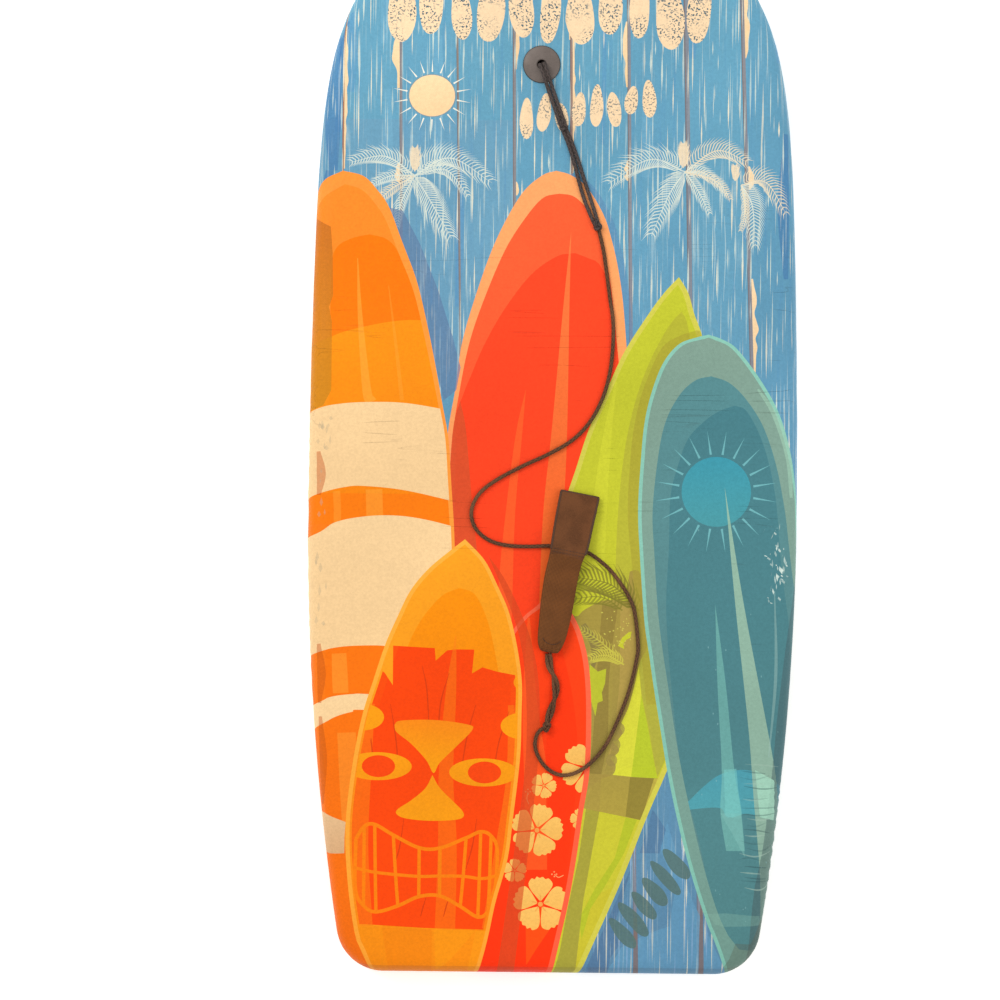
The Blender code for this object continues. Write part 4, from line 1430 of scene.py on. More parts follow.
def print_points(shapes):
    """All points of the flat cover in mm, and the lines that have to be edges of it."""
    loop, outward, _ = outline(FLAT_INSET, 0.0038)
    border = (loop + outward * SKIRT) * 1000
    turn = np.arange(48) * 2 * math.pi / 48
    hole = np.array(PLUG) * 1000 + (STEM_RADIUS + GAP) * 1000 * np.stack([np.cos(turn), np.sin(turn)], axis=1)
    rails = [loop * 1000 + outward * past for past in RAIL_STEPS]
    x, y = np.meshgrid(np.arange(-FAR, FAR, GRID), np.arange(-600, 600, GRID * 0.866))
    x[1::2] += GRID / 2
    grid = np.stack([x.ravel(), y.ravel()], axis=1)
    grid = grid[inside(grid, loop * 1000 - outward * 3)]
    masks = {id(shape[4]): shape[4] for shape in shapes if shape[4] is not None}
    loops = [border, hole] + [shape[0] for shape in shapes] + list(masks.values())
    start = np.concatenate(loops)
    end = np.concatenate([np.roll(points_of, -1, axis=0) for points_of in loops])
    owner = np.repeat(np.arange(len(loops)), [len(points_of) for points_of in loops])
    start, end, owner = split(start, end, owner, np.full(len(start), 12.0))
    past_flat = ~inside((start + end) / 2, loop * 1000 - outward * 6)
    start, end, owner = split(start, end, owner, np.where(past_flat, 2.6, 8.0))
    index = np.arange(len(start))
    first = np.searchsorted(owner, np.arange(len(loops)))
    last = np.append(owner[1:] != owner[:-1], True)
    edges = np.stack([index, np.where(last, first[owner], index + 1)], axis=1)
    return np.concatenate([start, *rails, grid]), edges, border, hole


def split(start, end, owner, limit):
    """Cuts straight pieces into equal ones no longer than their limit, in the same order."""
    length = np.linalg.norm(end - start, axis=1)
    count = np.maximum(1, np.ceil(length / limit)).astype(int)
    which = np.repeat(np.arange(len(start)), count)
    step = np.arange(len(which)) - np.repeat(np.cumsum(count) - count, count)
    low, high = (step / count[which])[:, None], ((step + 1) / count[which])[:, None]
    run = (end - start)[which]
    return start[which] + low * run, start[which] + high * run, owner[which]


def painted(shapes, corners, middles):
    """Colour and marks (wood grain, speckle) at each triangle's corners, shape after shape."""
    colour = np.ones((len(middles), 3, 3))
    marks = np.zeros((len(middles), 2))
    held = {}
    for loop, high, low, mix, within, wood, speckle in shapes:
        on = inside(middles, loop)
        if within is not None:
            if id(within) not in held:
                held[id(within)] = inside(middles, within)
            on &= held[id(within)]
        found = np.nonzero(on)[0]
        top, bottom = loop[:, 1].max(), loop[:, 1].min()
        share = np.clip((corners[found, :, 1] - bottom) / (top - bottom + 1e-9), 0, 1)[..., None]
        colour[found] += mix * (low + (high - low) * share - colour[found])
        if wood is not None:
            marks[found, 0] = wood
        elif mix > 0.95:
            marks[found, 0] = 0.0
        marks[found, 1] = 0.0 if speckle is None else speckle
    return colour, marks


def ripples(place, past):
    """How far the cloth stands off its smooth shape: long shallow waves, and folds round the right
    rail near the tail where the cover bunches."""
    x, y = place[:, 0], place[:, 1]
    soft = 0.00012 * np.sin(31 * x + 2.0 * np.sin(9 * y)) * np.sin(27 * y + 1.4)
    across = 0.00010 * np.sin(95 * y + 2.2 * np.sin(14 * x) + 0.8) * np.exp(-((y - 0.03) / 0.13) ** 2)
    near = np.clip((x - 0.185) / 0.03, 0, 1) * np.exp(-(((y + 0.385) / 0.075) ** 4))
    folds = 0.00045 * near * (np.sin(640 * y + 5 * np.sin(40 * y)) + 0.5 * np.sin(1130 * y + 2.0))
    folds = folds * np.clip((0.036 - past) / 0.016, 0.12, 1)
    left = np.clip((-0.195 - x) / 0.02, 0, 1) * np.exp(-(((y + 0.12) / 0.16) ** 4))
    folds = folds + 0.00025 * left * np.sin(300 * y + 6 * np.sin(33 * y))
    fade = np.clip(1 - (past - 0.046) / 0.008, 0, 1)
    return (soft + across + folds) * fade


def hem(points, faces):
    """Turns the cover's lower edge in under itself: every open edge near the slick gets two more rings."""
    pairs = np.concatenate([faces[:, [0, 1]], faces[:, [1, 2]], faces[:, [2, 0]]])
    count = len(points)
    keys = pairs[:, 0] * count + pairs[:, 1]
    back = pairs[:, 1] * count + pairs[:, 0]
    rim = pairs[~np.isin(keys, back)]
    rim = rim[points[rim[:, 0], 2] < 0.03]
    used = np.unique(rim)
    middle = points[used] * (0, 1, 0)
    middle[:, 1] = np.clip(middle[:, 1], -0.42, 0.40)
    inward = middle[:, :2] - points[used, :2]
    inward /= np.linalg.norm(inward, axis=1)[:, None]
    rings = []
    for step, rise in ((0.0026, -0.0001), (0.0030, 0.0060)):
        ring = points[used].copy()
        ring[:, :2] += inward * step
        ring[:, 2] += rise
        rings.append(ring)
    place = np.zeros(count, int)
    place[used] = np.arange(len(used))
    a, b = place[rim[:, 0]], place[rim[:, 1]]
    first, second = count, count + len(used)
    quads = np.concatenate([
        np.stack([rim[:, 1], rim[:, 0], first + a, first + b], axis=1),
        np.stack([first + b, first + a, second + a, second + b], axis=1),
    ])
    return np.concatenate([points, *rings]), quads


def cover_finish(settings):
    """Printed polyester weave laminated to thin foam: satin, with a fine square weave, soft mottling,
    plank grain that shows only where planks are printed, and fine creases where the board has flexed,
    darkened in colour as painted shade.

    The real thread spacing, about 0.4 mm, is drawn four times as coarse so that it shows."""
    made, tree, shader, place = new_material("printed_polyester_weave", 0.5, ior=1.5, Sheen_Weight=0.02)
    shader.inputs["Specular IOR Level"].default_value = 0.12
    # The print attribute holds the printed artwork together with the painted shade and highlights laid into
    # it.
    print_and_shade_colour = node(tree, kind("Attribute", attribute_name="print"))
    marks = node(tree, kind("Attribute", attribute_name="marks"))
    wood, speckle, crease = node(tree, kind("SeparateColor", output=slice(0, 3)), marks)

    grain = node(tree, NOISE, node(tree, STRETCH, place, (1, 0.03, 0.03)), 330.0, 3.0, 0.6)
    pale = node(tree, TIMES, node(tree, SMOOTH_RUN, grain, 0.58, 0.72), wood)
    deep = node(tree, TIMES, node(tree, SMOOTH_RUN, grain, 0.46, 0.30), wood)
    base = node(tree, MIX, node(tree, TIMES, pale, 0.35), print_and_shade_colour, linear("#cfe3e4"))
    base = node(tree, MIX, node(tree, TIMES, deep, 0.25), base, linear("#4f8abf"))

    ink = node(tree, SMOOTH_RUN, node(tree, NOISE, place, 520.0, 1.5), 0.54, 0.60)
    patch = node(tree, SMOOTH_RUN, node(tree, NOISE, place, 45.0), 0.36, 0.56)
    base = node(tree, MIX, node(tree, TIMES, node(tree, TIMES, ink, patch), speckle), base, linear("#4d6a78"))

    tone = node(tree, SMOOTH_RUN, node(tree, NOISE, place, 7.0, 3.0), 0.2, 0.8, 0.93, 1.06)
    fine = node(tree, SMOOTH_RUN, node(tree, NOISE, place, 430.0, 3.0, 0.7), 0.25, 0.75, 0.93, 1.07)
    pitch = 2 * math.pi / settings.weave_pitch
    across, along, _ = node(tree, SPLIT, place)
    weft = node(tree, SINE, node(tree, TIMES, across, pitch))
    warp = node(tree, SINE, node(tree, TIMES, along, pitch))
    weave = node(tree, TIMES, weft, warp)
    level = node(tree, TIMES, node(tree, TIMES, tone, fine),
                  node(tree, TIMES_PLUS, weave, 0.022, 1.0))
    shade = node(tree, kind("CombineColor"), level, level, level)
    base = node(tree, SHADE, 1.0, base, shade)

    # Creases: thin lines pressed in by the bump and darkened in colour as painted shade.
    lines = node(tree, NOISE, node(tree, STRETCH, place, (0.05, 1, 1)), 62.0, 2.0, 0.5, 0.2)
    ridge = node(tree, ABSOLUTE, node(tree, MINUS, lines, 0.5))
    where = node(tree, SMOOTH_RUN, node(tree, NOISE, place, 16.0), 0.54, 0.66)
    crack = node(tree, TIMES, node(tree, SMOOTH_RUN, ridge, 0.0085, 0.002), node(tree, TIMES, where, crease))
    base = node(tree, MIX, node(tree, TIMES, crack, 0.16), base, linear("#3a2a20"))
    feed(tree, shader, Base_Color=base)
    rough = node(tree, SMOOTH_RUN, node(tree, NOISE, place, 11.0), 0.3, 0.7, 0.42, 0.56)
    feed(tree, shader, Roughness=rough)
    height = node(tree, PLUS, node(tree, TIMES, fine, 0.55), node(tree, TIMES, weave, 0.25))
    height = node(tree, MINUS, height, node(tree, TIMES, crack, 1.6))
    relief(tree, shader, height, 0.00016)
    return made


def build_cover(settings):
    """The print cut into triangles along every edge of its artwork, then wrapped over the board."""
    shapes = artwork()
    points, lines, border, hole = print_points(shapes)
    flat, _, triangles, *_ = delaunay_2d_cdt(points.tolist(), lines.tolist(), [], 0, 0.03, False)
    flat = np.array([tuple(v) for v in flat])
    triangles = np.array(triangles)
    corners = flat[triangles]
    middles = corners.mean(axis=1)
    keep = inside(middles, border) & ~inside(middles, hole)
    triangles, corners, middles = triangles[keep], corners[keep], middles[keep]
    colour, marks = painted(shapes, corners, middles)

    used, faces = np.unique(triangles, return_inverse=True)
    faces = faces.reshape(-1, 3)
    place, past = wrap(flat[used] / 1000)
    turn = np.minimum(past / RAIL_RADIUS, math.pi / 2)
    lift = ripples(place, past)
    plan = place[:, :2]
    toward = plan.copy()
    toward[:, 1] = np.where(np.abs(plan[:, 1]) > 0.45, plan[:, 1] - np.sign(plan[:, 1]) * 0.45, 0)
    toward /= np.linalg.norm(toward, axis=1)[:, None] + 1e-9
    place = place + lift[:, None] * np.column_stack([toward * np.sin(turn)[:, None], np.cos(turn)])
    a, b, c = place[faces[:, 0]], place[faces[:, 1]], place[faces[:, 2]]
    outward = np.column_stack([middles * (0.001, 0.0004), np.full(len(middles), 0.3)])
    if np.sum(np.cross(b - a, c - a) * outward) < 0:
        faces, colour = faces[:, ::-1], colour[:, ::-1]
    points, quads = hem(place, faces)
    mesh = bpy.data.meshes.new("printed_cover")
    mesh.from_pydata(points.tolist(), [], faces.tolist() + quads.tolist())
    count = len(faces) * 3
    total = count + len(quads) * 4
    paint = np.tile(np.array(linear("#8a6a50")), (total, 1))
    paint[:count, :3] = colour.reshape(-1, 3)
    creased = np.exp(-(((
        middles[:, 1] - 20
    ) / 190) ** 4)) * 0.9 + np.clip((middles[:, 0] - 170) / 40, 0, 1) * 0.5
    mask = np.zeros((total, 4))
    mask[:, 3] = 1
    mask[:count, :3] = np.repeat(np.column_stack([marks, np.clip(creased, 0, 1)]), 3, axis=0)
    for name, values in (("print", paint), ("marks", mask)):
        layer = mesh.color_attributes.new(name=name, type="FLOAT_COLOR", domain="CORNER")
        layer.data.foreach_set("color", values.astype(np.float32).ravel())
    mesh.shade_smooth()
    piece = add_object("printed_cover", mesh, cover_finish(settings))
    stands_for(piece, "board", "deck_cover")
    border = border / 1000


# ---------------------------------------------------------------- slick, plug and core


def moulded_plastic(name, colour, roughness, grain, depth, shade_mask=None):
    """Moulded plastic: even colour with a fine spark-eroded grain and a few dull rubbed patches."""
    made, tree, shader, place = new_material(name, roughness, ior=1.49)
    shader.inputs["Specular IOR Level"].default_value = 0.4
    fine = node(tree, NOISE, place, 1 / grain, 3.0, 0.65)
    rubbed = node(tree, SMOOTH_RUN, node(tree, NOISE, place, 60.0, 3.0), 0.42, 0.72)
    pale = toned(colour, 1.25, 0.01)
    dark = toned(colour, 0.30)
    dull = toned(colour, 0.82)
    base = node(tree, MIX, node(tree, SMOOTH_RUN, fine, 0.3, 0.7), dull, colour)
    base = node(tree, MIX, node(tree, TIMES, rubbed, 0.6), base, pale)
    # Where a mask is given, the colour darkens toward a dark tone there: painted shade.
    if shade_mask is not None:
        base = node(tree, MIX, shade_mask(tree, place), base, dark)
    feed(tree, shader, Base_Color=base)
    feed(tree, shader, Roughness=node(tree, SMOOTH_RUN, rubbed, 0.0, 1.0, roughness + 0.08, roughness - 0.06))
    relief(tree, shader, fine, depth)
    return made


def slick_finish(colour):
    """Extruded HDPE sheet: slippery and half glossy, with long fine scratches from sand, nose to tail."""
    made, tree, shader, place = new_material("extruded_hdpe_sheet", 0.34, ior=1.54)
    scratch = node(tree, NOISE, node(tree, STRETCH, place, (1, 0.02, 1)), 700.0, 4.0, 0.7)
    lines = node(tree, SMOOTH_RUN, scratch, 0.60, 0.72)
    scuffed = node(tree, SMOOTH_RUN, node(tree, NOISE, place, 6.0, 3.0), 0.42, 0.66)
    pale = toned(colour, 1.8, 0.02)
    base = node(tree, MIX, node(tree, TIMES, node(tree, TIMES, lines, scuffed), 0.7), colour, pale)
    feed(tree, shader, Base_Color=base)
    feed(tree, shader, Roughness=node(tree, SMOOTH_RUN, scuffed, 0.0, 1.0, 0.30, 0.46))
    relief(tree, shader, node(tree, MINUS, node(tree, NOISE, place, 1200.0), lines), 0.00005)
    return made


def foam_finish():
    """Expanded polystyrene: white beads about 4 mm across, squeezed together, with darker seams."""
    made, tree, shader, place = new_material("expanded_polystyrene_beads", 0.75, ior=1.55)
    cells = kind("TexVoronoi", ("Vector", "Scale"), "Distance", feature="DISTANCE_TO_EDGE")
    seam = node(tree, SMOOTH_RUN, node(tree, cells, place, 250.0), 0.0, 0.12)
    feed(tree, shader, Base_Color=node(tree, MIX, seam, linear("#cfcfc9"), linear("#f1f1ec")))
    relief(tree, shader, seam, 0.0002)
    return made


def disc_hole(radius, count=96):
    """Circle round the plug, in plan."""
    turn = np.arange(count) * 2 * math.pi / count
    return np.array(PLUG) + radius * np.stack([np.cos(turn), np.sin(turn)], axis=1)


def build_slick(settings):
    """Flat sheet between two outlines with a rounded edge: rings at angle a are inset by
    r (1 - cos a) and lifted by r sin a from the middle of the thickness; both faces are filled in plan."""
    radius = SLICK_THICKNESS / 2
    turn = np.linspace(-math.pi / 2, math.pi / 2, 9)
    rings = []
    for angle in turn:
        loop = outline(radius * (1 - math.cos(angle)), 0.006)[0]
        rings.append(np.column_stack([loop, radius + radius * math.sin(angle) + rocker(loop[:, 1])]))
    count = len(rings[0])
    hole = disc_hole(PLUG_RADIUS + GAP)
    wall = [np.column_stack([hole, np.full(len(hole), height)]) for height in (0.0, SLICK_THICKNESS)]
    x, y = np.meshgrid(np.arange(-0.24, 0.24, 0.02), np.arange(-0.52, 0.52, 0.02))
    grid = np.stack([x.ravel(), y.ravel()], axis=1)
    loop = rings[0][:, :2]
    grid = grid[inside(grid, loop * 0.97) & ~inside(grid, disc_hole(PLUG_RADIUS + 0.008))]
    plan = np.concatenate([loop, hole, grid])
    index = np.arange(count)
    ring = count + np.arange(len(hole))
    lines = np.concatenate([
        np.stack([index, np.roll(index, -1)], axis=1), np.stack([ring, np.roll(ring, -1)], axis=1)
    ])
    flat, _, faces, *_ = delaunay_2d_cdt((plan * 1000).tolist(), lines.tolist(), [], 0, 0.001, False)
    faces = np.array(faces)
    middle = np.array([tuple(v) for v in flat])[faces].mean(axis=1) / 1000
    faces = faces[inside(middle, loop) & ~inside(middle, hole)]
    size = len(plan)
    low = np.column_stack([plan, rocker(plan[:, 1])])
    high = low + (0, 0, SLICK_THICKNESS)
    side = np.concatenate(rings[1:-1])
    points = np.concatenate([low, high, side])
    levels = [index] + [2 * size + k * count + index for k in range(len(rings) - 2)] + [size + index]
    quads = [
        np.stack([a, np.roll(a, -1), np.roll(b, -1), b], axis=1) for a,
        b in zip(levels, levels[1:], strict=False)
    ]
    a, b = ring, size + ring
    quads.append(np.stack([a, b, np.roll(b, -1), np.roll(a, -1)], axis=1))
    polygons = faces[:, ::-1].tolist() + (faces + size).tolist() + np.concatenate(quads).tolist()
    piece = mesh_object("slick_sheet", points, polygons, slick_finish(tuple(settings.slick)))
    stands_for(piece, "board", "bottom_slick")


def turned(name, profile, base, finish, count=96):
    """Closed ring turned about Z: a profile of (radius, height) carried round a circle."""
    profile = np.asarray(profile)
    turn = np.arange(count) * 2 * math.pi / count
    rings = np.stack([
        base[0] + profile[None, :, 0] * np.cos(turn)[:, None],
        base[1] + profile[None, :, 0] * np.sin(turn)[:, None],
        base[2] + np.broadcast_to(profile[None, :, 1], (count, len(profile))),
    ], axis=-1)
    around = np.arange(len(profile) + 1) * 0.001
    return swept(name, rings, finish, around, np.arange(count + 1) * 0.001, looped=True)


def rim_painted_shade(tree, place):
    """Painted shade in the gap along the disc's edge, where it sits on the deck: where the distance from its
    middle passes 17.2 mm.
    """
    offset = node(tree, kind("VectorMath", operation="SUBTRACT"), place, (*PLUG, 0.0))
    flat = node(tree, kind("VectorMath", operation="MULTIPLY"), offset, (1.0, 1.0, 0.0))
    length = node(tree, kind("VectorMath", output="Value", operation="LENGTH"), flat)
    return node(tree, SMOOTH_RUN, length, PLUG_RADIUS - 0.0010, PLUG_RADIUS - 0.0004)


def build_plug(settings):
    """Screw-in leash plug: a shallow dome with a rolled rim, a lipped hole and a hollow stem."""
    dome = np.linspace(0, 1, 14)
    radius = 0.0066 + (PLUG_RADIUS - 0.0014 - 0.0066) * dome
    top = np.stack([radius, 0.00255 - 0.0010 * dome**2.4], axis=1)
    angle = np.linspace(math.pi / 2, -math.pi / 4, 7)[1:]
    rim = np.stack([PLUG_RADIUS - 0.0009 + 0.0009 * np.cos(angle), 0.00075 + 0.0008 * np.sin(angle)], axis=1)
    lip = [(0.0042, 0.0012), (0.0043, 0.0022), (0.0050, 0.0027), (0.0060, 0.0027)]
    under = [(PLUG_RADIUS - 0.0010, GAP), (STEM_RADIUS, GAP), (STEM_RADIUS, -0.020), (0.0072, -0.020),
             (0.0072, -0.0032), (0.0043, -0.0014)]
    profile = np.concatenate([lip, top, rim, under])[::-1]
    finish = moulded_plastic("moulded_abs_plug", tuple(settings.plug), 0.46, 0.0011, 0.00004, rim_painted_shade)
    piece = turned("leash_plug_cap", profile, (*PLUG, DECK), finish)
    stands_for(piece, "board", "plug_cap")
    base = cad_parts["plug_base"]
    base.data.materials.clear()
    base.data.materials.append(moulded_plastic("moulded_abs_base", linear("#1f1f21"), 0.5, 0.0011, 0.00004))
    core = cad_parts["foam_core"]
    core.data.materials.clear()
    core.data.materials.append(foam_finish())


# ---------------------------------------------------------------- wrist cuff


def cuff_rise(p):
    """How far a layer is lifted where it crosses the leash: a smooth hump."""
    away = np.clip(np.abs(np.asarray(p) - HUMP_P) / HUMP_REACH, 0, 1)
    return HUMP_HEIGHT * (1 + np.cos(math.pi * away)) / 2


def cuff_point(p, q, z):
    """World place of a point given along and across the cuff, and above the deck."""
    sine, cosine = math.sin(CUFF_TURN), math.cos(CUFF_TURN)
    x = CUFF_FOLD[0] + p * sine + q * cosine
    y = CUFF_FOLD[1] + p * cosine - q * sine
    return np.stack([x, y, DECK + z], axis=-1)


def cuff_width(p):
    """Middle's offset and half width at a place along the cuff."""
    places, middles, halves = np.transpose(CUFF_OUTLINE)
    smooth = catmull_rom(np.transpose([places, middles, halves]), 8)
    return np.interp(p, smooth[:, 0], smooth[:, 1]), np.interp(p, smooth[:, 0], smooth[:, 2])


def cloth_layer(name, path, thickness, finish, power=4.0, narrower=0.0, columns=40, puff=0.0, crease=None):
    """Flat padded layer carried along a path of (p, z): across it, u runs from -1 to 1 and back, and
    the half thickness is t/2 (1 - |u|^power)^(1/2), so that both edges are rounded and closed."""
    path = np.asarray(path, float)
    tangent = np.gradient(path, axis=0)
    tangent /= np.linalg.norm(tangent, axis=1)[:, None]
    normal = np.stack([-tangent[:, 1], tangent[:, 0]], axis=1)
    turn = np.arange(columns) * 2 * math.pi / columns
    u = np.sign(np.cos(turn)) * np.abs(np.cos(turn)) ** 0.9
    v = np.sign(np.sin(turn)) * np.sqrt(np.clip(1 - np.abs(u) ** power, 0, 1))
    middle, half = cuff_width(path[:, 0])
    half = half - narrower
    thickness = np.broadcast_to(np.asarray(thickness, float), (len(path),))
    swell = 1 + puff * (1 - u[None, :] ** 2)
    lift = thickness[:, None] / 2 * v[None, :] * swell
    p = path[:, :1] + normal[:, :1] * lift
    z = path[:, 1:] + normal[:, 1:] * lift
    q = middle[:, None] + half[:, None] * u[None, :]
    z = z + cuff_rise(np.clip(p, 0.0755, None))
    if crease is not None:
        z = z + crease(p, q) * (v[None, :] > 0)
    rings = cuff_point(p, q, z)
    run = run_along(path)
    around = np.append(u, u[0]) * 0.016
    return swept(name, rings[:, ::-1], finish, around[::-1], run)


def air_mesh(colour):
    """Warp-knit polyester air mesh over foam: pale yarn round small dark openings set corner to corner.

    The real openings are about 1.6 mm apart. They are drawn coarser, 2.5 mm, so that they show."""
    made, tree, shader, place = new_material("knitted_polyester_air_mesh", 0.82, ior=1.5, Sheen_Weight=0.1)
    shader.inputs["Specular IOR Level"].default_value = 0.2
    shader.inputs["Sheen Roughness"].default_value = 0.5
    shader.inputs["Sheen Tint"].default_value = (0.75, 0.55, 0.42, 1.0)
    around, along, _ = node(tree, SPLIT, node(tree, CLOTH_UV))
    rate = 2 * math.pi / 0.0025
    one = node(tree, SINE, node(tree, TIMES, node(tree, PLUS, around, along), rate))
    two = node(tree, SINE, node(tree, TIMES, node(tree, MINUS, around, along), rate))
    hole = node(tree, SMOOTH_RUN, node(tree, TIMES, one, two), -0.15, 0.45)
    fuzz = node(tree, NOISE, place, 1100.0, 3.0)
    tone = node(tree, SMOOTH_RUN, node(tree, NOISE, place, 70.0, 2.0), 0.25, 0.75)
    dark = toned(colour, 0.42)
    pale = toned(colour, 2.1)
    base = node(tree, MIX, node(tree, TIMES, tone, 0.3), colour, pale)
    base = node(tree, MIX, node(tree, TIMES, fuzz, 0.3), base, pale)
    base = node(tree, MIX, node(tree, TIMES, hole, 0.65), base, dark)
    feed(tree, shader, Base_Color=base)
    relief(tree, shader, node(tree, MINUS, node(tree, TIMES, fuzz, 0.35), hole), 0.00045)
    return made


def brushed_strap(name, colour, pile):
    """Brushed loop-faced polyamide strap: soft matt nap, slightly uneven where it has been rubbed."""
    made, tree, shader, place = new_material(name, 0.85, ior=1.53, Sheen_Weight=0.1)
    shader.inputs["Specular IOR Level"].default_value = 0.2
    shader.inputs["Sheen Roughness"].default_value = 0.45
    shader.inputs["Sheen Tint"].default_value = (0.8, 0.6, 0.5, 1.0)
    nap = node(tree, NOISE, place, 1 / pile, 4.0, 0.7)
    rubbed = node(tree, SMOOTH_RUN, node(tree, NOISE, place, 55.0, 3.0), 0.35, 0.7)
    dark = toned(colour, 0.6)
    pale = toned(colour, 1.5)
    base = node(tree, MIX, node(tree, SMOOTH_RUN, nap, 0.3, 0.7), dark, colour)
    base = node(tree, MIX, node(tree, TIMES, rubbed, 0.4), base, pale)
    feed(tree, shader, Base_Color=base)
    relief(tree, shader, nap, 0.0003)
    return made


def thread_finish(colour):
    """Twisted polyester sewing thread: fine diagonal strands and a slight shine."""
    made, tree, shader, place = new_material("twisted_polyester_thread", 0.5, ior=1.53)
    twist = node(tree, NOISE, place, 1800.0, 1.0)
    feed(tree, shader, Base_Color=node(tree, MIX, twist, toned(colour, 0.6), colour))
    relief(tree, shader, twist, 0.00006)
    return made


def strap_creases(p, q):
    """Slanting folds pressed into the strap where it crosses the leash."""
    total = 0.0
    for at, slant, deep in (
        (0.1035, 0.35, 0.35), (0.1080, -0.25, 0.28), (0.1125, 0.15, 0.20), (0.098, 0.5, 0.2)
    ):
        total = total - deep * 0.001 * np.exp(-(((p - at - slant * q) / 0.0011) ** 2))
    fade = np.clip(1 - (np.abs(q) / 0.017) ** 6, 0, 1)
    return total * fade + 0.00025 * np.sin(p * 210 + q * 60) * fade


def fold_gathers(p, q):
    """Small puckers that run back from the fold, where the padding is gathered."""
    fade = np.exp(-((np.clip(p - 0.004, 0, None) / 0.007) ** 2))
    return 0.0006 * fade * (np.cos(q * 2 * math.pi / 0.0042 + 40 * p) - 0.6)


def band_path():
    """U-shaped path of the padded band: along the back layer, round the fold, and along the front."""
    back = np.stack([np.arange(0.075, 0.0055, -0.0016), np.full(44, 0.0018)], axis=1)
    turn = np.linspace(-math.pi / 2, -1.5 * math.pi, 15)
    fold = np.stack([0.0052 + 0.00335 * np.cos(turn), 0.00515 + 0.00335 * np.sin(turn)], axis=1)
    front = np.stack([np.arange(0.0066, 0.0985, 0.0016), np.full(58, 0.0085)], axis=1)
    return np.concatenate([back, fold, front])


def stitch_run(name, places, finish, length=0.0026, radius=0.00028):
    """Row of short thread bars: each a rounded bar (7 by 6 points) laid along the row's direction."""
    places = np.asarray(places, float)
    along = np.gradient(places, axis=0)
    along /= np.linalg.norm(along, axis=1)[:, None]
    side = np.stack([along[:, 1], -along[:, 0], np.zeros(len(along))], axis=1)
    side /= np.linalg.norm(side, axis=1)[:, None]
    up = np.cross(side, along)
    t = np.linspace(-1, 1, 7)
    swell = radius * np.sqrt(np.clip(1.02 - t**4, 0, 1))
    angle = np.arange(6) * math.pi / 3
    bow = 0.0001 * (1 - t**2)
    centre = places[:, None] + along[:, None] * (t * length / 2)[:, None] + up[:, None] * bow[:, None]
    ring = np.cos(angle)[:, None] * side[:, None, None] + np.sin(angle)[:, None] * up[:, None, None]
    points = (centre[:, :, None] + swell[:, None, None] * ring).reshape(-1, 3)
    corners = grid_corners(7, 6, closed=True)
    one = np.stack([i * 6 + j % 6 for i, j in corners], axis=1)
    caps = [[5, 4, 3, 2, 1, 0], [36, 37, 38, 39, 40, 41]]
    faces = []
    for k in range(len(places)):
        faces += (one + 42 * k).tolist() + [[v + 42 * k for v in cap] for cap in caps]
    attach(mesh_object(name, points, faces, finish), "cuff_front")


